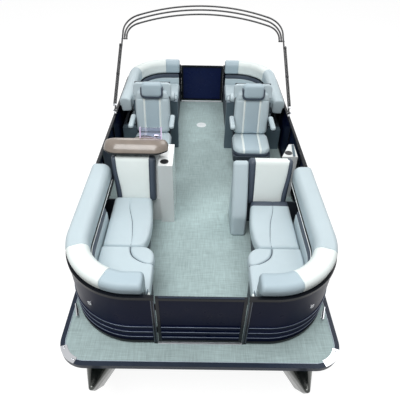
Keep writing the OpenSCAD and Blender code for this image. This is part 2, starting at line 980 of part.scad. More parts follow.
foot_r = 150;
foot_t = 14;
post_r = 36;
pan_t = 90;
pan_bottom = chair_h - 100 - pan_t;
seat_corner = 60;
chair_back_w = chair_w - 35;
chair_back_t = 105;
chair_back_y = chair_d / 2 - 100;
back_shell_t = 16;
back_foot = 30;
chair_arm_h = 200;
arm_t = 45;
arm_pad_w = 62;
arm_len = 330;

// A plate with round corners, centred, from z = 0
module rounded_plate(w, d, r, h) {
    block([-w / 2 + r, -d / 2, 0], [w / 2 - r, d / 2, h]);
    for (side = [0, 180])
        rotate([0, 0, side]) {
            block([w / 2 - r, -d / 2 + r, 0], [w / 2, d / 2 - r, h]);
            translate([w / 2 - r, d / 2 - r, 0]) quarter(r, 0, h, 0);
            translate([w / 2 - r, -d / 2 + r, 0]) quarter(r, 0, h, -90);
        }
}

module at_chair(side) on_deck() translate([side * chair_x, chair_y, 0]) children();

module chair_pedestals() {
    color([0.55, 0.57, 0.60])
        for (side = [-1, 1])
            at_chair(side)
                union() {
                    cylinder(r = foot_r, h = foot_t);
                    cylinder(r = post_r, h = pan_bottom - soft_gap);
                }
}

module chair_shell(side) {
    color(charcoal)
        at_chair(side)
            union() {
                translate([0, 0, pan_bottom])
                    rounded_plate(chair_w, chair_d, seat_corner, pan_t);
                block([-chair_back_w / 2, chair_d / 2 - 2, pan_bottom],
                      [chair_back_w / 2, chair_d / 2 + 34, chair_h]);
                translate([0, chair_back_y + (chair_back_t + soft_gap) / cos(chair_lean), chair_h])
                    rotate([-chair_lean, 0, 0])
                        block([-chair_back_w / 2 - 6, 0, -back_foot],
                              [chair_back_w / 2 + 6, back_shell_t, chair_back_h - 20]);
                for (x = [-1, 1]) {
                    translate([x * (chair_back_w / 2 + 6 + arm_pad_w / 2),
                               chair_back_y + 100 - arm_len / 2, chair_h + chair_arm_h])
                        rounded_plate(arm_pad_w, arm_len, arm_pad_w / 2 - 1, arm_t);
                    translate([x * (chair_back_w / 2 + 9), chair_back_y + 50, chair_h + 80])
                        block([-6, 0, 0], [6, 130, chair_arm_h - 60]);
                }
            }
}

module chair_seat(side) {
    color(vinyl)
        at_chair(side)
            translate([0, 0, chair_h - 100 + soft_gap])
                rounded_plate(chair_w - 10, chair_d - 10, seat_corner, 100 - soft_gap);
}

module chair_back(side) {
    color(vinyl)
        at_chair(side)
            translate([0, chair_back_y, chair_h + chair_back_t * sin(chair_lean) + soft_gap])
                leaning_pad(chair_back_w, chair_back_t, chair_back_h, chair_lean);
}

module helm_chair_shell() chair_shell(-1);

module helm_chair_seat() chair_seat(-1);

module helm_chair_back() chair_back(-1);

module companion_chair_shell() chair_shell(1);

module companion_chair_seat() chair_seat(1);

module companion_chair_back() chair_back(1);

// ---- bimini frame ----

hinge_rise = 40;
ear_t = 4;
ear_gap = 0.8;
hoop_x = half_fence - rail / 2;
eye_r = bimini_d / 2 + 2;
eye_len = bimini_d + 1;
sleeve_len = 36;
sleeve_t = 1;
sleeve_gap = 3;
hoop_pivot = hoop_len - pivot_drop;
// The three hoops: how far each lies inside the main one, along it and across it, and its corners
hoop_step = [[0, 0, hoop_corner], [80, 32, hoop_corner], [170, 64, hoop_corner - 100]];

// Puts things in the plane of the folded frame, with z along its legs
module in_hoop_plane()
    on_deck()
        translate([0, bimini_y, fence_h + hinge_rise])
            rotate([-hoop_lean, 0, 0])
                children();

// A pin across the boat, about x
module cross_pin(x, r, len)
    translate([x - len / 2, 0, 0])
        rotate([0, 90, 0])
            cylinder(r = r, h = len);

// An arc of tube in the plane of the frame, about its own centre, between two angles from +x
module tube_arc(r, from, to)
    rotate([90, 0, 0])
        rotate([0, 0, from])
            rotate_extrude(angle = to - from, $fn = r > hoop_corner ? 256 : 96)
                translate([r, 0])
                    circle(d = bimini_d);

// Sleeve that joins two lengths of tube at an angle from +x round a bend
module sleeve(r, angle)
    rotate([0, -angle, 0])
        translate([r, 0, -sleeve_len / 2])
            cylinder(d = bimini_d + 2 * sleeve_t, h = sleeve_len);

// A hoop: two legs from z = foot, two corners and a crown, joined by sleeves
module hoop(step, foot) {
    x = hoop_x - step[1];
    crown_z = hoop_len - step[0] - hoop_crown;
    corner = step[2];
    reach = hoop_crown - corner;
    corner_z = crown_z + sqrt(reach * reach - (x - corner) * (x - corner));
    bend = asin((x - corner) / reach);
    slack = sleeve_gap / corner * 180 / PI;
    crown_slack = sleeve_gap / hoop_crown * 180 / PI;
    difference() {
        union() {
            both_sides() {
                translate([x, 0, foot])
                    cylinder(d = bimini_d, h = corner_z - foot - sleeve_gap);
                translate([0, 0, foot])
                    cross_pin(x, eye_r, eye_len);
                translate([x - corner, 0, corner_z]) {
                    tube_arc(corner, slack, 90 - bend - slack);
                    sleeve(corner, 0);
                    sleeve(corner, 90 - bend);
                }
            }
            translate([0, 0, crown_z])
                tube_arc(hoop_crown, 90 - bend + crown_slack, 90 + bend - crown_slack);
        }
        for (side = [-1, 1])
            translate([0, 0, foot])
                cross_pin(side * x, pin_r + pin_play, eye_len + 2);
    }
}

module bimini_mounts() {
    color(chrome)
        on_deck()
            both_sides()
                translate([hoop_x, bimini_y, fence_h])
                    union() {
                        block([-rail / 2, -30, 0], [rail / 2, 30, ear_t]);
                        for (side = [-1, 1])
                            translate([side * (bimini_d / 2 + ear_gap + ear_t / 2), 0, 0])
                                block([-ear_t / 2, -12, 0], [ear_t / 2, 12, hinge_rise + 12]);
                        translate([0, 0, hinge_rise])
                            cross_pin(0, pin_r, bimini_d + 2 * ear_t + 6);
                    }
}

pivot_reach = hoop_step[2][1] + bimini_d / 2 + 4;
module bimini_main_hoop() {
    color(frame_black)
        in_hoop_plane()
            union() {
                hoop(hoop_step[0], 0);
                for (side = [-1, 1])
                    translate([0, 0, hoop_pivot])
                        cross_pin(side * (hoop_x - pivot_reach / 2), pin_r, pivot_reach);
            }
}

module bimini_second_hoop() {
    color(frame_black)
        in_hoop_plane()
            hoop(hoop_step[1], hoop_pivot);
}

module bimini_third_hoop() {
    color(frame_black)
        in_hoop_plane()
            hoop(hoop_step[2], hoop_pivot);
}

pontoon_starboard();
pontoon_port();
nose_cones();
cross_members();
deck();
deck_edge_trim();
corner_caps();
cleats();
motor_pod();
table_socket();
ladder_brackets();
boarding_ladder();
fence_frame_starboard();
fence_frame_port();
fence_skin_starboard();
fence_skin_port();
bow_gate_frame();
bow_gate_skin();
stern_gate_frame();
stern_gate_skin();
bow_lounge_bases();
bow_seat_starboard();
bow_seat_port();
bow_corner_cushions();
bow_backrests();
bow_bolster_starboard();
bow_bolster_port();
port_lounge_end();
stern_lounge_bases();
stern_seat_starboard();
stern_seat_port();
stern_corner_cushions();
stern_bolster_starboard();
stern_bolster_port();
stern_back_shells();
stern_back_cushions();
console();
dash_cowl();
steering_wheel();
port_pod();
chair_pedestals();
helm_chair_shell();
helm_chair_seat();
helm_chair_back();
companion_chair_shell();
companion_chair_seat();
companion_chair_back();
bimini_mounts();
bimini_main_hoop();
bimini_second_hoop();
bimini_third_hoop();
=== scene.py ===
"""Looks of the pontoon boat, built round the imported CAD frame. Lengths are metres."""
import bpy
import bmesh
import math
from mathutils import Matrix, Vector, noise


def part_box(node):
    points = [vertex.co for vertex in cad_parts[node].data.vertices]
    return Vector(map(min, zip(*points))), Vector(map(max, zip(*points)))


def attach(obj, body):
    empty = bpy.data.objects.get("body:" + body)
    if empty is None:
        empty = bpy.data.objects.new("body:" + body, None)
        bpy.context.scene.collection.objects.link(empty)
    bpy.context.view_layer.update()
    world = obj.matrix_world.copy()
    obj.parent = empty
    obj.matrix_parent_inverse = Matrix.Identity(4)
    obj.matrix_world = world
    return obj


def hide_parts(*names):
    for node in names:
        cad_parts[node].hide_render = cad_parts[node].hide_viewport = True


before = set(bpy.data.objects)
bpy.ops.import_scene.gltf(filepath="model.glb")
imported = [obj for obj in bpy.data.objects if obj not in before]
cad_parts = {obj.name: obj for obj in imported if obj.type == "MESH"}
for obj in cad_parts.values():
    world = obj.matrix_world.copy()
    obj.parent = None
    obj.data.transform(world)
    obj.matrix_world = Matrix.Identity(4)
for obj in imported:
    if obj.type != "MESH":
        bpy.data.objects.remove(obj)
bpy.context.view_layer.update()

# Pieces are drawn with y counted from the deck's bow edge and z from its surface, then placed here
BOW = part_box("deck_edge_trim")[0].y
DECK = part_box("deck")[1].z


def place(p):
    """A drawn point as a point of the shared frame."""
    return (p[0], p[1] + BOW, p[2] + DECK)


# ---- materials ----

def lin(*rgb):
    """A screen colour, 0 to 255, as the linear colour that the shader takes."""
    return tuple((c / 255 / 12.92 if c <= 10 else ((c / 255 + 0.055) / 1.055) ** 2.4)
                 for c in rgb) + (1.0,)


def shade(colour, share):
    """The colour, lighter or darker by a share."""
    return tuple(min(1.0, c * share) for c in colour[:3]) + (1.0,)


MAT = {}


def material(name, rgb, rough, metal=0.0, coat=0.0, spread=0.06, patch=3.0, grain=900.0,
             bump=0.15, dent=0.001, wave=0.0, stretch=(1, 1, 1), rough_spread=0.08,
             transmission=0.0, weave=0.0, sheen=0.0, specular=0.5):
    """A finish with patchy colour, fine grain in the bump, and wear in the roughness."""
    mat = bpy.data.materials.new(name)
    mat.use_nodes = True
    tree = mat.node_tree
    new, link = tree.nodes.new, tree.links.new
    shader = tree.nodes["Principled BSDF"]
    shader.inputs["Metallic"].default_value = metal
    shader.inputs["Coat Weight"].default_value = coat
    shader.inputs["Coat Roughness"].default_value = 0.08
    shader.inputs["Sheen Weight"].default_value = sheen
    shader.inputs["Transmission Weight"].default_value = transmission
    shader.inputs["Specular IOR Level"].default_value = specular
    place_node = new("ShaderNodeTexCoord")
    mapping = new("ShaderNodeMapping")
    mapping.inputs["Scale"].default_value = stretch
    link(place_node.outputs["Object"], mapping.inputs["Vector"])

    def noise_node(scale, detail):
        node = new("ShaderNodeTexNoise")
        node.inputs["Scale"].default_value = scale
        node.inputs["Detail"].default_value = detail
        link(mapping.outputs["Vector"], node.inputs["Vector"])
        return node

    patches = noise_node(patch, 4)
    ramp = new("ShaderNodeValToRGB")
    colour = lin(*rgb)
    ramp.color_ramp.elements[0].position = 0.32
    ramp.color_ramp.elements[0].color = shade(colour, 1 - spread)
    ramp.color_ramp.elements[1].position = 0.68
    ramp.color_ramp.elements[1].color = shade(colour, 1 + spread)
    link(patches.outputs["Fac"], ramp.inputs["Fac"])
    base = ramp.outputs["Color"]
    fine = new("ShaderNodeTexVoronoi")
    fine.inputs["Scale"].default_value = grain
    link(mapping.outputs["Vector"], fine.inputs["Vector"])
    height = fine.outputs["Distance"]
    if weave:
        threads = []
        for streak in ((weave * 0.05, weave, 1), (weave, weave * 0.05, 1)):
            turned = new("ShaderNodeMapping")
            turned.inputs["Scale"].default_value = streak
            link(place_node.outputs["Object"], turned.inputs["Vector"])
            thread = new("ShaderNodeTexNoise")
            thread.inputs["Scale"].default_value = 1.0
            thread.inputs["Detail"].default_value = 2
            link(turned.outputs["Vector"], thread.inputs["Vector"])
            threads.append(thread.outputs["Fac"])
        cross = new("ShaderNodeMath")
        cross.operation = "ADD"
        link(threads[0], cross.inputs[0])
        link(threads[1], cross.inputs[1])
        dark = new("ShaderNodeMix")
        dark.data_type = "RGBA"
        dark.blend_type = "MULTIPLY"
        dark.inputs["Factor"].default_value = 1.0
        tone = new("ShaderNodeMapRange")
        tone.inputs["From Min"].default_value = 0.7
        tone.inputs["From Max"].default_value = 1.3
        tone.inputs["To Min"].default_value = 0.82
        tone.inputs["To Max"].default_value = 1.18
        link(cross.outputs[0], tone.inputs["Value"])
        link(base, dark.inputs["A"])
        link(tone.outputs["Result"], dark.inputs["B"])
        base = dark.outputs["Result"]
        height = cross.outputs[0]
    link(base, shader.inputs["Base Color"])
    wear = noise_node(patch * 7, 5)
    rub = new("ShaderNodeMapRange")
    rub.inputs["To Min"].default_value = max(0.02, rough - rough_spread)
    rub.inputs["To Max"].default_value = min(1.0, rough + rough_spread)
    link(wear.outputs["Fac"], rub.inputs["Value"])
    link(rub.outputs["Result"], shader.inputs["Roughness"])
    first = new("ShaderNodeBump")
    first.inputs["Strength"].default_value = bump
    first.inputs["Distance"].default_value = dent
    link(height, first.inputs["Height"])
    second = new("ShaderNodeBump")
    second.inputs["Strength"].default_value = 0.25 if wave else 0.05
    second.inputs["Distance"].default_value = wave or 0.002
    soft = noise_node(14, 3)
    link(soft.outputs["Fac"], second.inputs["Height"])
    link(first.outputs["Normal"], second.inputs["Normal"])
    link(second.outputs["Normal"], shader.inputs["Normal"])
    MAT[name] = mat


VINYL = dict(grain=700, bump=0.12, wave=0.006, patch=2.2, spread=0.035, specular=0.35)
material("vinyl_light", (188, 203, 209), 0.46, **VINYL)
material("vinyl_white", (232, 240, 238), 0.44, **VINYL)
material("vinyl_mid", (172, 190, 199), 0.47, **VINYL)
material("vinyl_charcoal", (62, 72, 86), 0.48, grain=700, bump=0.15, wave=0.004, spread=0.1,
         coat=0.04)
material("vinyl_slate", (84, 101, 111), 0.5, grain=700, bump=0.15, wave=0.004, spread=0.08)
material("piping_dark", (66, 78, 92), 0.5, grain=500, spread=0.1)
material("piping_white", (236, 242, 242), 0.4, grain=500, spread=0.03)
material("deck_woven", (164, 183, 183), 0.78, weave=130, bump=0.4, dent=0.002, spread=0.12,
         patch=1.7, specular=0.2)
material("edge_slate", (36, 45, 60), 0.36, specular=0.18, grain=300, bump=0.05, spread=0.12,
         patch=6)
material("edge_light", (176, 190, 202), 0.3, grain=300, spread=0.08)
material("chrome_polished", (196, 198, 202), 0.12, metal=1.0, grain=400, bump=0.02, spread=0.04,
         rough_spread=0.05)
# The polished prows get a dark grey that paints in the reflection of dark surroundings
material("prow_dark_reflection", (84, 86, 84), 0.22, metal=1.0, grain=260, bump=0.06, spread=0.25,
         patch=5, rough_spread=0.1)
material("tube_aluminium", (176, 180, 184), 0.34, metal=1.0, grain=500, bump=0.1, spread=0.08,
         stretch=(1, 0.12, 1), rough_spread=0.1)
material("mill_aluminium", (158, 162, 166), 0.45, metal=1.0, grain=420, bump=0.12, spread=0.1)
material("rail_black", (16, 19, 26), 0.3, specular=0.2, grain=260, bump=0.03, spread=0.2)
# One navy at two brightnesses: the lighter copy goes on the stern gate, the darker on the fence and
# bow gate; the difference is painted light on the stern gate
material("navy_painted_lighter", (12, 24, 66), 0.26, specular=0.2, grain=220, bump=0.004, spread=0.10,
         patch=1.5)
material("panel_ink", (9, 18, 46), 0.30, specular=0.07, grain=220, bump=0.004, spread=0.10,
         patch=1.5)
# This grey finish is a painted highlight, laid as rods along the tops of the ribs and as strips
# down the gate posts
material("painted_highlight", (112, 122, 138), 0.35, metal=0.5, grain=300, spread=0.15)
material("base_charcoal", (50, 58, 68), 0.6, grain=500, spread=0.1)
material("gelcoat", (226, 230, 230), 0.2, coat=0.7, grain=180, bump=0.02, spread=0.03, patch=2)
material("bronze", (128, 117, 107), 0.30, coat=0.6, grain=60, bump=0.01, spread=0.1,
         patch=9)
material("plastic_black", (16, 17, 20), 0.35, grain=600, bump=0.15, spread=0.2)
material("shell_charcoal", (40, 48, 58), 0.5, grain=600, bump=0.2, spread=0.12)
material("steel_grey", (138, 144, 150), 0.3, metal=1.0, grain=400, bump=0.08, spread=0.08)
material("bimini_tube", (20, 21, 25), 0.26, coat=0.3, grain=350, bump=0.04, spread=0.2)
material("acrylic_smoke", (222, 216, 236), 0.04, transmission=1.0, grain=100, bump=0.01,
         spread=0.1, rough_spread=0.02)
# Pale lilac, nearly white: used on the windscreen's edges, where it is a painted highlight
material("acrylic_glint", (236, 214, 250), 0.12, coat=0.6, grain=150, spread=0.04)
material("dial_white", (224, 230, 232), 0.4, grain=500, spread=0.03)
material("lens_clear", (120, 126, 132), 0.15, coat=0.3, grain=220, bump=0.05, spread=0.05)

# ---- builders ----


def build(name, verts, faces, mats, index=None, body="hull", replaces=(), fill=None, wrinkle=0.0):
    """A smooth mesh piece that rides on a body. index gives each face's place in mats."""
    if wrinkle:
        verts = [Vector(v) + noise.noise_vector(Vector(v) * 9.0) * wrinkle for v in verts]
    mesh = bpy.data.meshes.new(name)
    mesh.from_pydata([place(v) for v in verts], [], faces)
    for mat in mats:
        mesh.materials.append(MAT[mat])
    if index:
        mesh.polygons.foreach_set("material_index", index)
    work = bmesh.new()
    work.from_mesh(mesh)
    bmesh.ops.remove_doubles(work, verts=work.verts, dist=1e-6)
    bmesh.ops.recalc_face_normals(work, faces=work.faces)
    work.to_mesh(mesh)
    work.free()
    mesh.polygons.foreach_set("use_smooth", [True] * len(mesh.polygons))
    mesh.set_sharp_from_angle(angle=math.radians(48))
    piece = bpy.data.objects.new(name, mesh)
    bpy.context.scene.collection.objects.link(piece)
    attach(piece, body)
    if replaces:
        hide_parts(*replaces)
    return piece


def loft(name, rings, mats, closed=False, caps=True, **extra):
    """A skin through rings of the same number of points."""
    n, m = len(rings[0]), len(rings)
    faces = []
    for i in range(m if closed else m - 1):
        a, b = i * n, (i + 1) % m * n
        faces += [(a + j, a + (j + 1) % n, b + (j + 1) % n, b + j) for j in range(n)]
    if caps and not closed:
        faces += [tuple(range(n - 1, -1, -1)), tuple(range((m - 1) * n, m * n))]
    return build(name, [p for ring in rings for p in ring], faces, mats, **extra)


def rounded(points, steps=6):
    """A closed outline from corners (a, b, radius)."""
    out = []
    for i, (x, y, r) in enumerate(points):
        p = Vector((x, y))
        a = Vector(points[i - 1][:2]) - p
        b = Vector(points[(i + 1) % len(points)][:2]) - p
        half = a.angle(b) / 2
        cut = min(r / math.tan(half), a.length * 0.48, b.length * 0.48)
        if cut < 1e-5:
            out.append((x, y))
            continue
        start, end = p + a.normalized() * cut, p + b.normalized() * cut
        centre = p + (a.normalized() + b.normalized()).normalized() * (cut / math.cos(half))
        radius = (start - centre).length
        for k in range(steps + 1):
            q = (start.lerp(end, k / steps) - centre).normalized() * radius
            out.append(tuple(centre + q))
    return out


def oblong(x0, y0, x1, y1, radius, steps=6):
    """A closed rectangle with rounded corners."""
    return rounded([(x0, y0, radius), (x1, y0, radius), (x1, y1, radius), (x0, y1, radius)],
                   steps)


def lying(a, b, c):
    """The plan's own directions, for a plate that lies flat."""
    return (a, b, c)


def inset(outline, depth):
    """The outline moved inwards."""
    n = len(outline)
    area = sum(outline[i - 1][0] * outline[i][1] - outline[i][0] * outline[i - 1][1]
               for i in range(n))
    sign = 1 if area > 0 else -1
    out = []
    for i in range(n):
        t = Vector(outline[(i + 1) % n]) - Vector(outline[i - 1])
        if t.length < 1e-9:
            t = Vector((1, 0))
        t.normalize()
        out.append((outline[i][0] - t.y * depth * sign, outline[i][1] + t.x * depth * sign))
    return out


def slab(name, outline, low, high, radius, mats, to3d, crown=0.0, bulge=0.0, radius_low=None,
         **extra):
    """A plate with rounded edges and, with a crown, a domed top."""
    radius_low = radius if radius_low is None else radius_low
    steps = 5
    rings = []
    for k in range(steps + 1):
        a = math.pi / 2 * k / steps
        rings.append((inset(outline, radius_low * (1 - math.sin(a))),
                      low + radius_low * (1 - math.cos(a))))
    if bulge:
        rings.append((inset(outline, -bulge), (low + high) / 2))
    for k in range(steps + 1):
        a = math.pi / 2 * k / steps
        rings.append((inset(outline, radius * (1 - math.cos(a))),
                      high - radius * (1 - math.sin(a))))
    if crown:
        top, brim = rings[-1]
        cx = sum(p[0] for p in top) / len(top)
        cy = sum(p[1] for p in top) / len(top)
        for share in (0.85, 0.65, 0.45, 0.25, 0.08):
            rings.append(([(cx + (p[0] - cx) * share, cy + (p[1] - cy) * share) for p in top],
                          brim + crown * (1 - share * share)))
    solid = [[to3d(p[0], p[1], c) for p in ring] for ring, c in rings]
    return loft(name, solid, mats, **extra)


def curve(points):
    """A smooth function through points, held at its ends."""
    n = len(points)
    slope = []
    for i in range(n):
        lo, hi = points[max(0, i - 1)], points[min(n - 1, i + 1)]
        slope.append((hi[1] - lo[1]) / (hi[0] - lo[0]) if n > 1 else 0.0)

    def at(t):
        if t <= points[0][0]:
            return points[0][1]
        for i in range(n - 1):
            (t0, v0), (t1, v1) = points[i], points[i + 1]
            if t <= t1:
                h = t1 - t0
                u = (t - t0) / h
                return ((2 * u ** 3 - 3 * u * u + 1) * v0 + (u ** 3 - 2 * u * u + u) * h * slope[i]
                        + (3 * u * u - 2 * u ** 3) * v1 + (u ** 3 - u * u) * h * slope[i + 1])
        return points[-1][1]
    return at


def level(value):
    """A curve that keeps one value."""
    return lambda t: value


def spaced(a, b, n):
    """From a up to but not including b, close together near both."""
    return [a + (b - a) * (0.5 - 0.5 * math.cos(math.pi * k / n)) for k in range(n)]


def pad(name, curves, b0, b1, c0, c1, mats, to3d, paint=None, radius=0.03, crown=0.01,
        puff=0.005, corner=0.04, seams=(), groove=0.006, bulge=0.006, across=10, along=14,
        **extra):
    """A sewn cushion: curves are its edges and its lengthwise seams, seams its cross seams."""
    cols = [(i, f) for i in range(len(curves) - 1) for f in spaced(0, 1, across)]
    cols.append((len(curves) - 2, 1.0))
    stops = [b0, *seams, b1]
    rows = [b for i in range(len(stops) - 1) for b in spaced(stops[i], stops[i + 1], along)]
    rows.append(b1)

    def tuck(b):
        d = min(b - b0, b1 - b)
        return corner - math.sqrt(max(0, corner ** 2 - (corner - d) ** 2)) if d < corner else 0

    def edges(b):
        xs = [f(b) for f in curves]
        t = tuck(b)
        xs[0] += t
        xs[-1] -= t
        for i in range(1, len(xs) - 1):
            xs[i] = min(max(xs[i], xs[0] + 0.004), xs[-1] - 0.004)
        return xs

    grid = []
    for b in rows:
        xs = edges(b)
        panel_b = next(((lo, hi) for lo, hi in zip(stops, stops[1:]) if b <= hi), stops[-2:])
        fb = (b - panel_b[0]) / (panel_b[1] - panel_b[0])
        for i, f in cols:
            a = xs[i] + (xs[i + 1] - xs[i]) * f
            qa = max(0, 1 - (a - xs[0]) / radius, 1 - (xs[-1] - a) / radius)
            qb = max(0, 1 - (b - b0) / radius, 1 - (b1 - b) / radius)
            q = min(1.0, math.hypot(qa, qb))
            drop = radius * (1 - math.sqrt(1 - q * q))
            ta = 2 * (a - xs[0]) / (xs[-1] - xs[0]) - 1
            tb = 2 * (b - b0) / (b1 - b0) - 1
            rise = crown * (1 - ta * ta) * (1 - tb * tb)
            rise += puff * math.sin(math.pi * f) * math.sqrt(max(0, math.sin(math.pi * fb)))
            cut = sum(math.exp(-((a - x) / 0.006) ** 2) for x in xs[1:-1])
            cut += sum(math.exp(-((b - s) / 0.006) ** 2) for s in seams)
            grid.append((a, b, c1 + rise - drop - groove * min(1, cut) * (1 - q)))
    n, m = len(cols), len(rows)
    faces, index = [], []
    for j in range(m - 1):
        middle_b = (rows[j] + rows[j + 1]) / 2
        for i in range(n - 1):
            faces.append((j * n + i, j * n + i + 1, (j + 1) * n + i + 1, (j + 1) * n + i))
            index.append(paint(cols[i][0], middle_b) if paint else 0)
    rim = list(range(n)) + [j * n + n - 1 for j in range(1, m)]
    rim += [(m - 1) * n + i for i in range(n - 2, -1, -1)] + [j * n for j in range(m - 2, 0, -1)]
    loop = [(grid[k][0], grid[k][1]) for k in rim]
    strip_of = [cols[k % n][0] for k in rim]
    verts = list(grid)
    previous = rim
    for depth, share in ((-bulge, 0.55), (-bulge * 0.6, 0.25), (0.0, 0.08), (0.008, 0.0)):
        ring = inset(loop, depth)
        start = len(verts)
        for k, p in enumerate(ring):
            top = grid[rim[k]][2]
            verts.append((p[0], p[1], c0 + (top - c0) * share))
        count = len(ring)
        for k in range(count):
            k2 = (k + 1) % count
            faces.append((previous[k], previous[k2], start + k2, start + k))
            index.append(paint(strip_of[k], loop[k][1]) if paint else 0)
        previous = list(range(start, start + count))
    faces.append(tuple(previous))
    index.append(0)
    return build(name, [to3d(*v) for v in verts], faces, mats, index=index, **extra)


def tube(name, points, radius, mats, closed=False, sides=8, **extra):
    """Piping or a rod along points."""
    pts = [Vector(p) for p in points]
    n = len(pts)
    rings = []
    side = None
    for i, p in enumerate(pts):
        ahead = pts[(i + 1) % n] if closed or i < n - 1 else p
        behind = pts[i - 1] if closed or i > 0 else p
        t = (ahead - behind).normalized()
        if side is None:
            side = t.cross(Vector((0, 0, 1)) if abs(t.z) < 0.9 else Vector((1, 0, 0)))
        side = (side - t * side.dot(t)).normalized()
        up = t.cross(side)
        rings.append([tuple(p + side * (radius * math.cos(a)) + up * (radius * math.sin(a)))
                      for a in (2 * math.pi * k / sides for k in range(sides))])
    return loft(name, rings, mats, closed=closed, **extra)


def lathe(name, profile, centre, mats, axis=(0, 0, 1), squash=(1, 1), sides=32, **extra):
    """A turned piece: profile is (radius, height) along axis."""
    up = Vector(axis).normalized()
    side = up.cross(Vector((0, 1, 0)) if abs(up.y) < 0.9 else Vector((1, 0, 0))).normalized()
    third = up.cross(side)
    centre = Vector(centre)
    rings = [[tuple(centre + side * (r * squash[0] * math.cos(a))
                    + third * (r * squash[1] * math.sin(a)) + up * h)
              for a in (2 * math.pi * k / sides for k in range(sides))] for r, h in profile]
    return loft(name, rings, mats, **extra)


# ---- the fence's line ----

HALF = 1.250
FRONT = 0.220
CORNER = 0.650
CORNER_X = HALF - CORNER
CORNER_Y = FRONT + CORNER
ARC = CORNER * math.pi / 2
BOTH_ENDS = FRONT + 5.200      # the stern's line is the bow's, mirrored


def fence_point(s, x0, u, end, side):
    """The place a distance s along the fence from x0 in the doorway, and u inside it."""
    run = CORNER_X - x0
    if s < run:
        x, y, nx, ny = x0 + s, FRONT, 0.0, 1.0
    elif s < run + ARC:
        t = (s - run) / CORNER
        nx, ny = -math.sin(t), math.cos(t)
        x, y = CORNER_X - CORNER * nx, CORNER_Y - CORNER * ny
    else:
        x, y, nx, ny = HALF, CORNER_Y + s - run - ARC, -1.0, 0.0
    x, y = x + u * nx, y + u * ny
    return side * x, (BOTH_ENDS - y if end == "stern" else y)


def swept(name, section, x0, s0, s1, end, side, mats, r0=0.01, r1=0.01, step=0.035, **extra):
    """Runs a section along the fence, with its two ends rounded."""
    cu = sum(p[0] for p in section) / len(section)
    cz = sum(p[1] for p in section) / len(section)
    reach = max(abs(p[1] - cz) for p in section)
    stops = [(s0 + r0 * (1 - math.cos(k * math.pi / 10)), r0 * (1 - math.sin(k * math.pi / 10)))
             for k in range(5)] if r0 else []
    inner = max(2, int((s1 - s0 - r0 - r1) / step))
    stops += [(s0 + r0 + (s1 - s0 - r0 - r1) * k / inner, 0.0) for k in range(inner + 1)]
    stops += [(s1 - r1 * (1 - math.cos(k * math.pi / 10)), r1 * (1 - math.sin(k * math.pi / 10)))
              for k in range(4, -1, -1)] if r1 else []
    rings = []
    for s, cut in stops:
        share = 1 - cut / reach
        ring = []
        for u, z in section:
            x, y = fence_point(s, x0, cu + (u - cu) * share, end, side)
            ring.append((x, y, cz + (z - cz) * share))
        rings.append(ring)
    return loft(name, rings, mats, **extra)


def fence_tube(name, u, z, x0, s0, s1, end, side, radius, mats, step=0.04, **extra):
    """A thin rod along the fence, u inside its face and z above the deck."""
    n = int((s1 - s0) / step)
    pts = [(*fence_point(s0 + (s1 - s0) * k / n, x0, u, end, side), z) for k in range(n + 1)]
    return tube(name, pts, radius, mats, **extra)


SIDES = (("starboard", -1), ("port", 1))

# ---- finishes on the CAD pieces ----

FINISH = {
    "tube_aluminium": ["pontoon_starboard", "pontoon_port"],
    "prow_dark_reflection": ["nose_cones"],
    "mill_aluminium": ["cross_members", "motor_pod"],
    "deck_woven": ["deck"],
    "edge_slate": ["deck_edge_trim", "ladder_brackets"],
    "chrome_polished": ["corner_caps", "cleats", "bimini_mounts",
                        "boarding_ladder"],
    "rail_black": ["fence_frame_starboard", "fence_frame_port", "bow_gate_frame",
                   "stern_gate_frame"],
    "navy_painted_lighter": ["stern_gate_skin"],
    "panel_ink": ["bow_gate_skin"],
    # The table socket's chrome flange is drawn flat white: a painted highlight
    "dial_white": ["table_socket"],
    "vinyl_slate": ["stern_back_shells"],
    "base_charcoal": ["stern_lounge_bases"],
    "gelcoat": ["console", "port_pod"],
    "plastic_black": ["steering_wheel"],
    "steel_grey": ["chair_pedestals"],
    "shell_charcoal": ["helm_chair_shell", "companion_chair_shell"],
    "bimini_tube": ["bimini_main_hoop", "bimini_second_hoop", "bimini_third_hoop"],
}
for finish, names in FINISH.items():
    for node in names:
        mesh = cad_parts[node].data
        mesh.materials.clear()
        mesh.materials.append(MAT[finish])


def soften(node, width, segments=3, angle=35):
    """Rounds the edges that the eye sees, by modifiers on the CAD piece."""
    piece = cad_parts[node]
    flat = piece.modifiers.new("flat", "DECIMATE")
    flat.decimate_type = "DISSOLVE"
    flat.angle_limit = math.radians(1.5)
    bevel = piece.modifiers.new("edges", "BEVEL")
    bevel.width = width
    bevel.segments = segments
    bevel.limit_method = "ANGLE"
    bevel.angle_limit = math.radians(angle)
    bevel.harden_normals = False


for node, width in (("console", 0.014), ("port_pod", 0.012), ("stern_back_shells", 0.012),
                    ("bow_gate_frame", 0.004), ("bow_gate_skin", 0.003),
                    ("stern_gate_frame", 0.004), ("stern_gate_skin", 0.003),
                    ("deck_edge_trim", 0.004)):
    soften(node, width)

# ---- fence skins, highlights painted on the ribs and posts ----

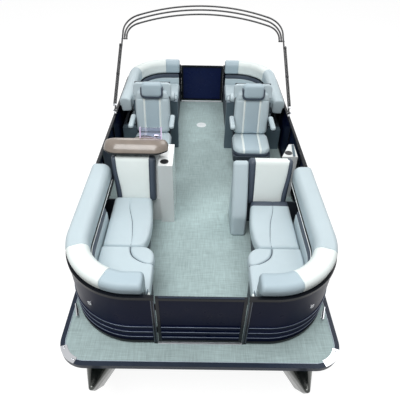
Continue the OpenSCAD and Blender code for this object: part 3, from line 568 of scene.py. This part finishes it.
RIBS = (0.095, 0.175, 0.255)
RIB = 0.026
skin_line = [(0.008, 0.052)]
for z in RIBS:
    skin_line += [(0.008, z - 0.005), (0.005, z - 0.001), (0.001, z + 0.005), (-0.001, z + 0.013),
                  (0.000, z + 0.020), (0.004, z + RIB), (0.008, z + RIB + 0.004)]
skin_line += [(0.008, 0.300), (0.0065, 0.306), (0.008, 0.312), (0.008, 0.668), (0.013, 0.668),
              (0.013, 0.052)]
for side_name, side in SIDES:
    bow_x, stern_x = 0.422, 0.412
    bow_end = CORNER_X - bow_x + ARC + 5.2 - FRONT - 2 * CORNER
    swept("fence_panel_" + side_name, skin_line, bow_x, 0, bow_end, "bow", side,
          ["panel_ink"], r0=0, r1=0, replaces=("fence_skin_" + side_name,))
    swept("fence_panel_stern_" + side_name, skin_line, stern_x, 0, CORNER_X - stern_x + ARC,
          "stern", side, ["panel_ink"], r0=0, r1=0)
    # A grey rod along the top of each rib is a painted highlight
    for i, z in enumerate(RIBS):
        for end, x0, stop in (("bow", bow_x, bow_end), ("stern", stern_x,
                                                        CORNER_X - stern_x + ARC)):
            fence_tube(f"fence_stripe_{end}_{side_name}_{i}", -0.0005, z + 0.021, x0, 0.004,
                       stop, end, side, 0.0026, ["painted_highlight"])
for gate, y, sign in (("bow", FRONT, -1), ("stern", 5.200, 1)):
    reach = 0.352 if gate == "bow" else 0.342
    # Grey rods on each gate's ribs are painted highlights
    for i, z in enumerate(RIBS):
        tube(f"{gate}_gate_rib_highlight_{i}", [(x, y + sign * 0.0012, z + 0.021)
                                         for x in (-reach + 0.004, 0, reach - 0.004)],
             0.0026, ["painted_highlight"], body=gate + "_gate")
    # A slate strip on the gate's black top rail is a painted highlight
    slab(f"{gate}_gate_top_highlight", oblong(-reach, y - 0.009 - sign * 0.016, reach,
                                    y + 0.009 - sign * 0.016, 0.004),
         0.6895, 0.6935, 0.002, ["edge_slate"], lying, body=gate + "_gate")
# Black strips hide the light beside the stern gate. The starboard one lies on the hinge's axis and
# cuts into the fence's frame
SEAL_X, SEAL_HALF = 0.374, 0.0038
for side_name, side in SIDES:
    slab("stern_gate_seal_" + side_name,
         oblong(side * SEAL_X - SEAL_HALF, 5.165, side * SEAL_X + SEAL_HALF, 5.185, 0.001),
         0.030, 0.690, 0.001, ["plastic_black"], lying, body="stern_gate")
# Thin grey strips down the fronts of the bow gate's posts are painted highlights
for i, x in enumerate((-0.4175, -0.3945, 0.3945, 0.4175)):
    slab(f"post_highlight_{i}", oblong(x - 0.0016, 0.03, x + 0.0016, 0.66, 0.001),
         0.0, 0.002, 0.0008, ["painted_highlight"], lambda a, b, c: (a, FRONT - c, b))
for gate, y in (("bow", 0.236), ("stern", 5.184)):
    slab(f"{gate}_threshold", oblong(-0.388, y - 0.022, 0.388, y + 0.022, 0.004),
         0.0002, 0.006, 0.003, ["mill_aluminium"], lying, radius_low=0.0005)

# ---- rolls and the pads under them ----

BOW_ROLL = rounded([(0.026, 0.7032, 0.022), (0.002, 0.8245, 0.080), (0.2140, 0.8245, 0.082),
                    (0.2140, 0.6115, 0.045), (0.080, 0.6115, 0.012), (0.066, 0.7032, 0.006)], 8)
STERN_ROLL = rounded([(0.047, 0.7032, 0.010), (0.045, 0.8245, 0.066), (0.2140, 0.8245, 0.078),
                      (0.2140, 0.6115, 0.045), (0.075, 0.6115, 0.012), (0.062, 0.7032, 0.006)], 8)
STRIP = oblong(0.205, 0.552, 0.236, 0.603, 0.006)
PAD = rounded([(0.200, 0.342, 0.010), (0.2385, 0.342, 0.014), (0.2385, 0.547, 0.014),
               (0.200, 0.547, 0.010)])
LINER = oblong(0.118, 0.342, 0.126, 0.612, 0.002, 2)
BOW_X, STERN_X = 0.480, 0.400
BOW_END = CORNER_X - BOW_X + ARC + 1.930 - CORNER_Y
STERN_END = CORNER_X - STERN_X + ARC + BOTH_ENDS - 3.562 - CORNER_Y
LAYOUT = {
    "bow": (BOW_ROLL, BOW_X, ((0.0, 0.370, "vinyl_mid", 0.034, 0.010),
                              (0.370, 0.914, "vinyl_white", 0.010, 0.010),
                              (0.914, BOW_END, "vinyl_light", 0.010, 0.030))),
    "stern": (STERN_ROLL, STERN_X, ((0.0, 0.245, "vinyl_mid", 0.026, 0.010),
                                    (0.245, 1.017, "vinyl_white", 0.010, 0.010),
                                    (1.017, STERN_END, "vinyl_light", 0.010, 0.026))),
}
for side_name, side in SIDES:
    for end, (section, x0, runs) in LAYOUT.items():
        node = f"{end}_bolster_{side_name}"
        for i, (s0, s1, mat, r0, r1) in enumerate(runs):
            swept(f"{end}_roll_{side_name}_{i}", section, x0, s0 + 0.0004, s1 - 0.0004, end, side,
                  [mat], r0=r0, r1=r1, replaces=(node,) if i == 0 else (), fill=0.85,
                  wrinkle=0.0012)
        pad_end = 1.70 if end == "bow" else STERN_END - 0.11
        swept(f"{end}_side_pad_{side_name}", PAD, x0, 0.012, pad_end, end, side, ["vinyl_light"],
              r0=0.010, r1=0.014, fill=0.6)
        swept(f"{end}_side_strip_{side_name}", STRIP, x0, 0.012, pad_end - 0.02, end, side,
              ["vinyl_charcoal"], r0=0.008, r1=0.008, fill=0.6)
        fence_tube(f"{end}_roll_piping_{side_name}", 0.2160, 0.6085, x0, 0.03,
                   (BOW_END if end == "bow" else STERN_END) - 0.03, end, side, 0.0042,
                   ["piping_white" if end == "bow" else "piping_dark"])
    swept(f"bow_pocket_{side_name}", LINER, BOW_X, 1.60, BOW_END - 0.01, "bow", side,
          ["plastic_black"], r0=0, r1=0)

# ---- bow lounges ----

def upright(side):
    """Plan and height, mirrored to a side."""
    return lambda a, b, c: (side * a, b, c)


SEAT_LOW, SEAT_TOP = 0.3405, 0.4520
AISLE = curve([(1.028, 0.590), (1.06, 0.573), (1.12, 0.552), (1.20, 0.539), (1.30, 0.533),
               (1.42, 0.536), (1.55, 0.549), (1.66, 0.563), (1.757, 0.575)])
SPLIT = curve([(1.028, 0.713), (1.12, 0.713), (1.20, 0.720), (1.38, 0.746), (1.58, 0.800),
               (1.757, 0.822)])
LOBE_OUT = curve([(0.788, 0.500), (0.797, 0.474), (0.83, 0.463), (0.88, 0.462), (0.92, 0.468),
                  (0.96, 0.488), (0.99, 0.520), (1.018, 0.580)])
LOBE_IN = curve([(0.788, 0.502), (0.797, 0.540), (0.83, 0.607), (0.88, 0.668), (0.93, 0.697),
                 (0.97, 0.708), (1.018, 0.713)])


def corner_out(y):
    """The corner cushion's outer side, inside the pad."""
    r = CORNER - 0.246
    d = CORNER_Y - y
    return CORNER_X + math.sqrt(max(0.0, r * r - d * d)) if d > 0 else CORNER_X + r


def corner_in(y):
    """The corner cushion's inner side, along the lobe cushion."""
    return 0.462 if y < 0.786 else LOBE_IN(y) + 0.003


def base_outline(depth, foot):
    """A bow lounge base's outline, a distance inside its skin; foot is how far it is undercut."""
    side_of = curve([(0.27, 0.470), (0.70, 0.472), (0.82, 0.476), (0.92, 0.486), (1.03, 0.585),
                     (1.12, 0.562), (1.30, 0.545), (1.50, 0.553), (1.70, 0.578), (1.87, 0.590)])
    y0, y1 = FRONT + 0.045 + depth, 1.880 - depth
    r = CORNER - 0.045 - depth
    line = [(CORNER_X + r * math.sin(t * math.pi / 24), CORNER_Y - r * math.cos(t * math.pi / 24))
            for t in range(13)]
    line.append((CORNER_X + r, y1))
    rows = [y1 + (y0 - y1) * k / 30 for k in range(31)]
    return line + [(side_of(y) + foot * (0.2 if y < 0.8 else 1.0) + depth, y) for y in rows]


for side_name, side in SIDES:
    to = upright(side)
    rings = [[to(x, y, z) for x, y in base_outline(depth, foot)]
             for depth, foot, z in ((0, 0.040, 0.0005), (0, 0.032, 0.040), (0, 0.004, 0.310),
                                    (0, 0.0, 0.340), (0.014, 0.0, 0.340), (0.014, 0.004, 0.310),
                                    (0.014, 0.040, 0.014))]
    loft("bow_base_" + side_name, rings, ["base_charcoal"],
         replaces=("bow_lounge_bases",) if side < 0 else ())
    body = "bow_lid_" + side_name
    seat_end = 1.7565 if side > 0 else 1.7880
    pad("bow_seat_cushion_" + side_name, [AISLE, SPLIT, level(0.9985)], 1.029, seat_end,
        SEAT_LOW, SEAT_TOP, ["vinyl_light", "vinyl_charcoal"], to, radius=0.030, crown=0.006,
        puff=0.006, corner=0.022, body=body, replaces=("bow_seat_" + side_name,), fill=0.7,
        along=22, seams=(1.668,) if side > 0 else (),
        paint=lambda i, b, side=side: 1 if side > 0 and b > 1.668 else 0)
    tube("bow_seat_piping_" + side_name,
         [to(SPLIT(y), y, SEAT_TOP + 0.001 - 0.010 * (1 - math.sin(math.pi * (y - 1.035) / 0.715)))
          for y in (1.035 + (0.630 if side > 0 else 0.715) * k / 24 for k in range(25))],
         0.0032, ["piping_dark"],
         body=body)
    pad("bow_lobe_cushion_" + side_name, [LOBE_OUT, LOBE_IN], 0.788, 1.018, SEAT_LOW,
        SEAT_TOP + 0.001, ["vinyl_light"], to, radius=0.026, crown=0.010, puff=0.002,
        corner=0.004, fill=0.75, along=26, across=14)
    pad("bow_corner_cushion_" + side_name, [corner_in, corner_out], 0.466, 1.018, SEAT_LOW,
        SEAT_TOP, ["vinyl_light"], to, radius=0.022, crown=0.004, puff=0.002, corner=0.004,
        replaces=("bow_corner_cushions",) if side < 0 else (), fill=0.7, along=44, across=20)
    line = [(LOBE_IN(y) + 0.001, y) for y in (1.012 - 0.222 * k / 22 for k in range(23))]
    line += [(0.500, 0.787), (0.478, 0.784), (0.463, 0.780)]
    tube("bow_lobe_piping_" + side_name, [to(x, y, SEAT_TOP - 0.008) for x, y in line], 0.0036,
         ["piping_dark"])
    pad("bow_wedge_" + side_name, [level(0.458), level(0.4795)], 0.262, 0.465, SEAT_LOW, 0.450,
        ["vinyl_white"], to, radius=0.009, crown=0.001, puff=0.0, corner=0.008, bulge=0.001,
        fill=0.6)
    tube("bow_wedge_piping_" + side_name, [to(0.4815, 0.27 + 0.02 * k, 0.452) for k in range(12)],
         0.0035, ["piping_dark"])

LEAN = math.radians(17)
BACK_T, BACK_H = 0.105, 0.540


def leaning(side, y, z, lean, thick, x0=0.0):
    """Across, up the lean and forwards, from a leaning pad's lower front edge."""
    return lambda a, b, c: (x0 + side * a, y + b * math.sin(lean) + (thick - c) * math.cos(lean),
                            z + b * math.cos(lean) - (thick - c) * math.sin(lean))


for side_name, side in SIDES:
    thick = BACK_T if side > 0 else 0.080
    to = leaning(side, 1.774 if side > 0 else 1.800, 0.371, LEAN, thick)
    edge = curve([(0.0, 0.985), (0.15, 0.996), (0.35, 1.020), (0.54, 1.028)])
    inner = curve([(0.0, 0.925), (0.15, 0.934), (0.35, 0.966), (0.54, 0.982)])
    pad("bow_backrest_" + side_name, [level(0.534), level(0.600), inner, edge], 0.0, BACK_H,
        0.0, thick, ["vinyl_white", "vinyl_charcoal"], to, radius=0.030, crown=0.010,
        puff=0.007, corner=0.030, paint=lambda i, b: 0 if i == 1 else 1,
        replaces=("bow_backrests",) if side < 0 else (), fill=0.75, across=9)
    for i, line in enumerate((level(0.600), inner)):
        tube(f"bow_back_piping_{side_name}_{i}",
             [to(line(b), b, thick + 0.004 - 0.012 * (2 * b / BACK_H - 1) ** 4)
              for b in (0.02 + 0.5 * k / 16 for k in range(17))], 0.0028, ["piping_dark"])

slab("port_arm", rounded([(1.618, 0.002, 0.030), (1.630, 0.290, 0.150), (1.938, 0.848, 0.080),
                          (2.006, 0.848, 0.050), (2.058, 0.002, 0.020)], 8),
     0.352, 0.530, 0.030, ["vinyl_light"], lambda a, b, c: (c, a, b),
     replaces=("port_lounge_end",), fill=0.5, radius_low=0.045)
slab("port_lounge_shell", rounded([(1.886, 0.002, 0.006), (1.886, 0.340, 0.05),
                                   (2.024, 0.794, 0.030), (2.083, 0.794, 0.025),
                                   (2.083, 0.002, 0.006)]),
     0.532, 0.998, 0.014, ["vinyl_charcoal"], lambda a, b, c: (c, a, b))

# ---- stern lounges ----


def stern_out(y):
    """The outer side of a stern corner cushion."""
    return corner_out(BOTH_ENDS - y)


for side_name, side in SIDES:
    to = upright(side)
    pad("stern_seat_cushion_" + side_name, [level(0.420), level(0.700), level(0.9985)], 3.769,
        4.509, SEAT_LOW, SEAT_TOP, ["vinyl_light"], to, radius=0.030, crown=0.006, puff=0.007,
        corner=0.030, body="stern_lid_" + side_name, replaces=("stern_seat_" + side_name,),
        fill=0.7)
    pad("stern_corner_cushion_" + side_name, [level(0.406), stern_out], 4.521, 4.953, SEAT_LOW,
        SEAT_TOP, ["vinyl_light"], to, radius=0.024, crown=0.006, puff=0.003, corner=0.004,
        replaces=("stern_corner_cushions",) if side < 0 else (), fill=0.7, along=40, across=20)
    slab("stern_back_cushion_" + side_name,
         rounded([(3.568, 0.7810, 0.020), (3.568, 0.8580, 0.042), (3.757, 0.8580, 0.052),
                  (3.757, 0.3430, 0.024), (3.6625, 0.3430, 0.006), (3.6625, 0.7810, 0.004)], 7),
         0.4060, 0.9985, 0.026, ["vinyl_light"], lambda a, b, c, s=side: (s * c, a, b),
         replaces=("stern_back_cushions",) if side < 0 else (), fill=0.7)
    tube("stern_shell_piping_" + side_name,
         [to(0.362 + 0.63 * k / 8, 3.5615, 0.7795) for k in range(9)], 0.004, ["piping_dark"])

# ---- helm ----


def cup(name, x, y, z):
    """A black liner with a flange and a dark well."""
    lathe(name, [(0.002, -0.070), (0.034, -0.070), (0.0375, -0.064), (0.0375, 0.0),
                 (0.040, 0.0022), (0.047, 0.0022), (0.0485, 0.0004)], (x, y, z),
          ["plastic_black"])


cup("helm_cup_liner", -0.425, 1.935, 0.850)
cup("port_cup_liner", 1.092, 2.457, 0.650)
# A flat white disc fills the socket's bore; with the flange it is a painted highlight
lathe("table_socket_highlight", [(0.002, -0.010), (0.0292, -0.010), (0.0292, 0.0030), (0.027, 0.0046),
                           (0.002, 0.0052)], (0, 4.280, 0), ["dial_white"])

COWL_MID, COWL_HALF = -0.750, 0.361
rise = curve([(0.0, 0.024), (0.08, 0.055), (0.25, 0.090), (0.45, 0.110), (0.62, 0.118),
              (0.80, 0.108), (0.93, 0.080), (1.0, 0.045)])


def cowl_ring(x):
    """The cowl's section across the boat at x, lower towards its ends."""
    e = abs(x - COWL_MID) / COWL_HALF
    away = max(0.0, (e - 0.55) / 0.45)
    y0 = 1.938 + 0.088 * away ** 2.2
    y1 = 2.163 - 0.030 * away ** 4
    fall = 1 - 0.30 * away ** 2 - 0.34 * max(0.0, (e - 0.86) / 0.14) ** 3
    ring = [(x, y0 + 0.006, 0.942)]
    for k in range(17):
        b = k / 16
        ring.append((x, y0 + (y1 - y0) * b, 0.930 + max(0.014, rise(b) * fall)))
    return ring + [(x, y1 - 0.006, 0.942)]


cowl_xs = [COWL_MID + COWL_HALF * math.sin(math.pi * (k / 40 - 0.5)) for k in range(41)]
loft("helm_cowl", [cowl_ring(x) for x in cowl_xs], ["bronze"], replaces=("dash_cowl",))
plan = [(x, cowl_ring(x)[1][1] - 0.003) for x in cowl_xs]
plan += [(x, cowl_ring(x)[-2][1] + 0.003) for x in reversed(cowl_xs)]
slab("helm_cowl_lip", plan, 0.9305, 0.9450, 0.003, ["plastic_black"], lying)
lathe("helm_cowl_hump", [(0.062, -0.03), (0.060, 0.0), (0.050, 0.018), (0.032, 0.028),
                         (0.004, 0.032)], (-0.630, 2.112, 1.020), ["bronze"], squash=(2.7, 0.85))

SCREEN = [(-0.700, 0.010), (-0.650, 0.003), (-0.582, 0.0), (-0.514, 0.003), (-0.464, 0.010)]


def screen(x, back, h, t=0.0):
    """A place on the raked windscreen: back is how far it curves aft, t its thickness."""
    return (x, 2.088 + back + h * 0.45 + t, 1.030 + h)


loft("helm_windscreen", [[screen(x, b, 0.0), screen(x, b, 0.125), screen(x, b, 0.125, 0.004),
                          screen(x, b, 0.0, 0.004)] for x, b in SCREEN], ["acrylic_smoke"])
# The bright rods up the windscreen's two edges are painted highlights
for i, (x, b) in enumerate((SCREEN[0], SCREEN[-1])):
    tube(f"helm_windscreen_edge_{i}", [screen(x, b, h, 0.002) for h in (0.0, 0.07, 0.128)],
         0.0075, ["acrylic_glint"])

DASH_Y, DASH_Z = 2.157, 0.931
DOWN = Vector((0, 0.8385, -0.5450))
OUT = Vector((0, 0.5450, 0.8385))


def on_dash(a, b, c):
    """Across the dash, down its slope and out of it."""
    p = Vector((a, DASH_Y, DASH_Z)) + DOWN * b + OUT * c
    return (p.x, p.y, p.z)


slab("helm_panel", oblong(-0.965, 0.012, -0.515, 0.228, 0.02), 0.0005, 0.006, 0.003,
     ["plastic_black"], on_dash, radius_low=0.0005)
for i, (x, b, r) in enumerate(((-0.770, 0.075, 0.042), (-0.600, 0.075, 0.042),
                               (-0.685, 0.060, 0.026))):
    lathe(f"helm_dial_{i}", [(r, 0.0), (r, 0.010), (r * 0.9, 0.014), (r * 0.86, 0.009)],
          on_dash(x, b, 0.006), ["chrome_polished"], axis=OUT)
    lathe(f"helm_dial_face_{i}", [(r * 0.87, 0.0), (r * 0.87, 0.0085), (0.002, 0.0085)],
          on_dash(x, b, 0.006), ["plastic_black"], axis=OUT)
    for k in range(9):
        a = math.radians(-120 + 30 * k)
        x1, b1 = x + r * 0.70 * math.sin(a), b - r * 0.70 * math.cos(a)
        x2, b2 = x + r * 0.80 * math.sin(a), b - r * 0.80 * math.cos(a)
        tube(f"helm_dial_tick_{i}_{k}", [on_dash(x1, b1, 0.0150), on_dash(x2, b2, 0.0150)],
             0.0009, ["dial_white"], sides=5)
for k in range(5):
    x = -0.945 + 0.024 * k
    slab(f"helm_switch_{k}", oblong(x - 0.009, 0.150, x + 0.009, 0.190, 0.003),
         0.006, 0.013, 0.002, ["rail_black"], on_dash, radius_low=0.0005)
slab("throttle_box", rounded([(2.235, 0.842, 0.02), (2.235, 0.900, 0.03), (2.335, 0.900, 0.03),
                              (2.335, 0.842, 0.02)]), -0.560, -0.505, 0.010, ["plastic_black"],
     lambda a, b, c: (c, a, b))
tube("throttle_lever", [(-0.497, 2.285, 0.880), (-0.490, 2.270, 0.930), (-0.492, 2.262, 0.968),
                        (-0.510, 2.260, 0.985)], 0.007, ["chrome_polished"])
lathe("throttle_knob", [(0.004, -0.030), (0.015, -0.026), (0.018, 0.0), (0.015, 0.026),
                        (0.004, 0.030)], (-0.535, 2.260, 0.987), ["chrome_polished"],
      axis=(1, 0, 0))
slab("port_pod_strap", rounded([(1.135, 2.375, 0.006), (1.165, 2.375, 0.006),
                                (1.190, 2.640, 0.006), (1.160, 2.640, 0.006)]),
     0.6505, 0.6620, 0.005, ["vinyl_slate"], lying)

# ---- chairs ----

STRIPES = (-0.128, -0.098, 0.098, 0.128)
CHAIR_LEAN = math.radians(10)
SHELL_HALF = 0.256
for side_name, side in (("helm", -1), ("companion", 1)):
    body = side_name + "_chair"
    cx, cy = side * 0.685, 2.990
    seat_at = lambda a, b, c, cx=cx, cy=cy: (cx + a, cy + b, c)
    pad(side_name + "_seat_cushion", [level(-0.2475), *map(level, STRIPES), level(0.2475)],
        -0.2350, 0.2450, 0.4300, 0.4900, ["vinyl_light", "vinyl_white", "vinyl_mid"], seat_at,
        paint=lambda i, b: (0, 1, 2, 1, 0)[i], radius=0.032, crown=0.010,
        puff=0.005, corner=0.120, body=body,
        replaces=(side_name + "_chair_seat",), fill=0.75, across=7)
    back_at = leaning(1, cy + 0.150, 0.5105, CHAIR_LEAN, 0.105, cx)
    lines = [level(x) for x in (-0.120, -0.092, 0.092, 0.120)]
    flank = curve([(0.0, 0.232), (0.30, 0.234), (0.48, 0.226), (0.585, 0.196)])
    pad(side_name + "_back_cushion", [lambda b, f=flank: -f(b), *lines, flank], 0.0, 0.585,
        0.0, 0.105, ["vinyl_light", "vinyl_white", "vinyl_mid"], back_at,
        paint=lambda i, b: (0, 1, 1 if b > 0.478 else 2, 1, 0)[i], radius=0.034, crown=0.010,
        puff=0.006, corner=0.045, seams=(0.478,), body=body,
        replaces=(side_name + "_chair_back",), fill=0.75, across=7)
    wrap = rounded([(-SHELL_HALF, 0.490, 0.010), (SHELL_HALF, 0.490, 0.010),
                    (SHELL_HALF, 0.676, 0.052), (-SHELL_HALF, 0.676, 0.052)], 8)
    slab(side_name + "_back_wrap", wrap, -0.0285, 0.0550, 0.016, ["vinyl_light"], back_at,
         body=body, fill=0.7)
    collar = rounded([(-0.152, 0.486, 0.062), (0.152, 0.486, 0.062), (0.150, 0.640, 0.020),
                      (-0.150, 0.640, 0.020)])
    slab(side_name + "_headrest_collar", collar, 0.030, 0.140, 0.012, ["vinyl_charcoal"],
         back_at, body=body)
    pad(side_name + "_headrest", [level(-0.136), level(0.136)], 0.512, 0.690, 0.024, 0.150,
        ["vinyl_mid"], back_at, radius=0.028, crown=0.006, puff=0.0, corner=0.046, body=body,
        fill=0.8, across=18)
    for k in (-1, 1):
        x, y = cx + k * 0.272, cy + 0.085
        arm = oblong(-0.0335, -0.168, 0.0335, 0.168, 0.030)
        slab(f"{side_name}_arm_pad_{'port' if k > 0 else 'starboard'}", arm, 0.7060, 0.7440,
             0.016, ["vinyl_light"], lambda a, b, c, x=x, y=y: (x + a, y + b, c), crown=0.004,
             radius_low=0.008, body=body, fill=0.6)
    slab(side_name + "_seat_foot", rounded([(-0.2495, -0.2440, 0.105), (0.2495, -0.2440, 0.105),
                                            (0.2495, 0.2440, 0.05), (-0.2495, 0.2440, 0.05)], 8),
         0.3925, 0.4350, 0.010, ["vinyl_charcoal"], seat_at, body=body)
    seam = rounded([(-0.2535, -0.2510, 0.062), (0.2535, -0.2510, 0.062), (0.2535, 0.2350, 0.05),
                    (-0.2535, 0.2350, 0.05)], 8)
    tube(side_name + "_seat_welt", [seat_at(a, b, 0.3935) for a, b in seam], 0.0045,
         ["piping_dark"], closed=True, body=body)

# ---- bimini details: braces on the legs, fittings at the pivots ----

HINGE = (3.350, 0.740)
FOLD = math.radians(60)


def hoop_at(x, along, ahead=0.0):
    """A place in the folded hoops' plane: x across, along the legs, ahead towards the bow."""
    return (x, HINGE[0] + along * math.sin(FOLD) - ahead * math.cos(FOLD),
            HINGE[1] + along * math.cos(FOLD) + ahead * math.sin(FOLD))


for side_name, side in SIDES:
    leg = side * 1.234
    tube("bimini_brace_" + side_name, [hoop_at(leg + side * 0.0255, 0.075 + 0.0475 * k)
                                       for k in range(24)], 0.0120, ["bimini_tube"],
         body="bimini_main", sides=14)
    for i, along in enumerate((0.085, 0.62, 1.14)):
        lathe(f"bimini_clamp_{side_name}_{i}",
              [(0.0125, -0.014), (0.0155, -0.013), (0.0155, 0.013), (0.0125, 0.014)],
              hoop_at(leg + side * 0.0128, along), ["plastic_black" if i else "chrome_polished"],
              axis=(0, math.sin(FOLD), math.cos(FOLD)), squash=(1.75, 1.0), sides=24,
              body="bimini_main")
    lathe("bimini_pivot_cap_" + side_name, [(0.002, -0.004), (0.011, -0.003), (0.012, 0.003),
                                            (0.008, 0.008), (0.001, 0.009)],
          hoop_at(leg + side * 0.0135, 1.270), ["chrome_polished"], axis=(side, 0, 0), sides=16,
          body="bimini_main")

# ---- bolts, lines, lights and fittings ----


def deck_line(depth):
    """The deck's outline, a distance inside its edge."""
    half, length = 1.295 - depth, 5.960 - depth
    rb, rs = 0.265 - depth, 0.150 - depth
    pts = [(-0.352, length), (-half, length, rs), (-half, depth, rb), (half, depth, rb),
           (half, length, rs), (0.352, length)]
    return rounded([(p[0], p[1], p[2] if len(p) > 2 else 0.0) for p in pts], 12)


outer, inner = deck_line(0.001), deck_line(0.042)
loft("deck_edge_flange", [[(a[0], a[1], 0.0005), (a[0], a[1], 0.0036), (b[0], b[1], 0.0048),
                           (b[0], b[1], 0.0005)] for a, b in zip(outer, inner)], ["edge_slate"])
tube("deck_edge_bead", [(x, y, 0.0030) for x, y in deck_line(0.0455)], 0.0036, ["edge_light"],
     sides=6)
dome = [(0.0075, 0.0), (0.0070, 0.0022), (0.0045, 0.0042), (0.001, 0.005)]
for side_name, side in SIDES:
    for i, degrees in enumerate((-66, -62, -28, -24)):
        a = math.radians(degrees)
        lathe(f"cap_bolt_{side_name}_{i}", dome,
              (side * (1.030 + 0.235 * math.cos(a)), 0.265 + 0.235 * math.sin(a), 0.0070),
              ["chrome_polished"], sides=12)
    x, y = fence_point(CORNER_X - 0.3 + CORNER * math.radians(35), 0.3, -0.001, "bow", side)
    away = Vector((x - side * CORNER_X, y - CORNER_Y, 0)).normalized()
    lathe("docking_light_" + side_name, [(0.024, -0.010), (0.024, 0.001), (0.019, 0.004),
                                         (0.0175, 0.0015)], (x, y, 0.450),
          ["chrome_polished"], axis=away, sides=24)
    lathe("docking_lens_" + side_name, [(0.0176, -0.004), (0.0176, 0.0012), (0.010, 0.0034),
                                        (0.001, 0.0040)], (x, y, 0.450), ["lens_clear"],
          axis=away, sides=24)
    lathe("bimini_knob_" + side_name, [(0.003, -0.004), (0.013, -0.003), (0.014, 0.004),
                                       (0.009, 0.010), (0.001, 0.011)],
          (side * (1.234 + 0.024), 3.350, 0.740), ["chrome_polished"], axis=(side, 0, 0),
          sides=16)

# ---- floor, light and camera ----

scene = bpy.context.scene
SKY_LIGHT = 0.26
FLOOR_GLOW = 0.90


def seen_directly(tree, low, high):
    """High for what the camera, metal and glass see, low for the light on everything else."""
    path = tree.nodes.new("ShaderNodeLightPath")
    total = None
    for ray in ("Is Camera Ray", "Is Glossy Ray", "Is Transmission Ray"):
        if total is None:
            total = path.outputs[ray]
            continue
        top = tree.nodes.new("ShaderNodeMath")
        top.operation = "MAXIMUM"
        tree.links.new(total, top.inputs[0])
        tree.links.new(path.outputs[ray], top.inputs[1])
        total = top.outputs[0]
    level_node = tree.nodes.new("ShaderNodeMapRange")
    level_node.inputs["To Min"].default_value = low
    level_node.inputs["To Max"].default_value = high
    tree.links.new(total, level_node.inputs["Value"])
    return level_node.outputs["Result"]


# The floor reaches this far from the middle
size = 60.0
floor_mesh = bpy.data.meshes.new("floor")
floor_mesh.from_pydata([(-size, -size, 0), (size, -size, 0), (size, size, 0), (-size, size, 0)],
                       [], [(0, 1, 2, 3)])
floor = bpy.data.objects.new("floor", floor_mesh)
scene.collection.objects.link(floor)
floor_mat = bpy.data.materials.new("floor_white")
floor_mat.use_nodes = True
tree = floor_mat.node_tree
shader = tree.nodes["Principled BSDF"]
shader.inputs["Base Color"].default_value = (0.22, 0.22, 0.22, 1)
shader.inputs["Roughness"].default_value = 0.9
shader.inputs["Specular IOR Level"].default_value = 0.1
shader.inputs["Emission Color"].default_value = (1, 1, 1, 1)
tree.links.new(seen_directly(tree, 0.0, FLOOR_GLOW), shader.inputs["Emission Strength"])
floor_mesh.materials.append(floor_mat)

world = bpy.data.worlds.new("studio")
scene.world = world
world.use_nodes = True
tree = world.node_tree
sky = tree.nodes["Background"]
sky.inputs["Color"].default_value = (1, 1, 1, 1)
tree.links.new(seen_directly(tree, SKY_LIGHT, 1.0), sky.inputs["Strength"])


def lamp(name, place_at, target, power, width):
    data = bpy.data.lights.new(name, "AREA")
    data.energy = power
    data.size = width
    lamp_object = bpy.data.objects.new(name, data)
    scene.collection.objects.link(lamp_object)
    lamp_object.location = place_at
    aim = Vector(target) - Vector(place_at)
    lamp_object.rotation_euler = aim.to_track_quat("-Z", "Y").to_euler()
    return lamp_object


lamp("key", (-1.5, -4.2, 8.6), (0, -0.6, 0.8), 570, 5.5)
lamp("fill", (4.5, 2.5, 8.0), (0, 0, 0.8), 230, 5.0)
lamp("back", (-1.0, 6.5, 7.0), (0, 1, 1.0), 150, 4.0)
scene.view_settings.view_transform = "Standard"

# The camera that fits the photo: its focal length as a share of the frame, and its turns in degrees
FRAME_WIDTH = 36.0
FOCAL_SHARE = 0.9637
pitch, yaw, roll = (math.radians(a) for a in (40.35, 0.457, 1.203))
ahead = Vector((math.sin(yaw) * math.cos(pitch), math.cos(yaw) * math.cos(pitch),
                -math.sin(pitch)))
right = Vector((math.cos(yaw), -math.sin(yaw), 0))
up = right.cross(ahead)
turned_right = right * math.cos(roll) + up * math.sin(roll)
turned_up = up * math.cos(roll) - right * math.sin(roll)
stand = Matrix((turned_right, turned_up, -ahead)).transposed().to_4x4()
stand.translation = Vector((-0.044, BOW - 1.638, DECK + 3.328))
camera = bpy.data.objects.new("camera", bpy.data.cameras.new("camera"))
camera.data.sensor_width = FRAME_WIDTH
camera.data.lens = FRAME_WIDTH * FOCAL_SHARE
camera.matrix_world = stand
scene.collection.objects.link(camera)
scene.camera = camera

bpy.context.view_layer.update()
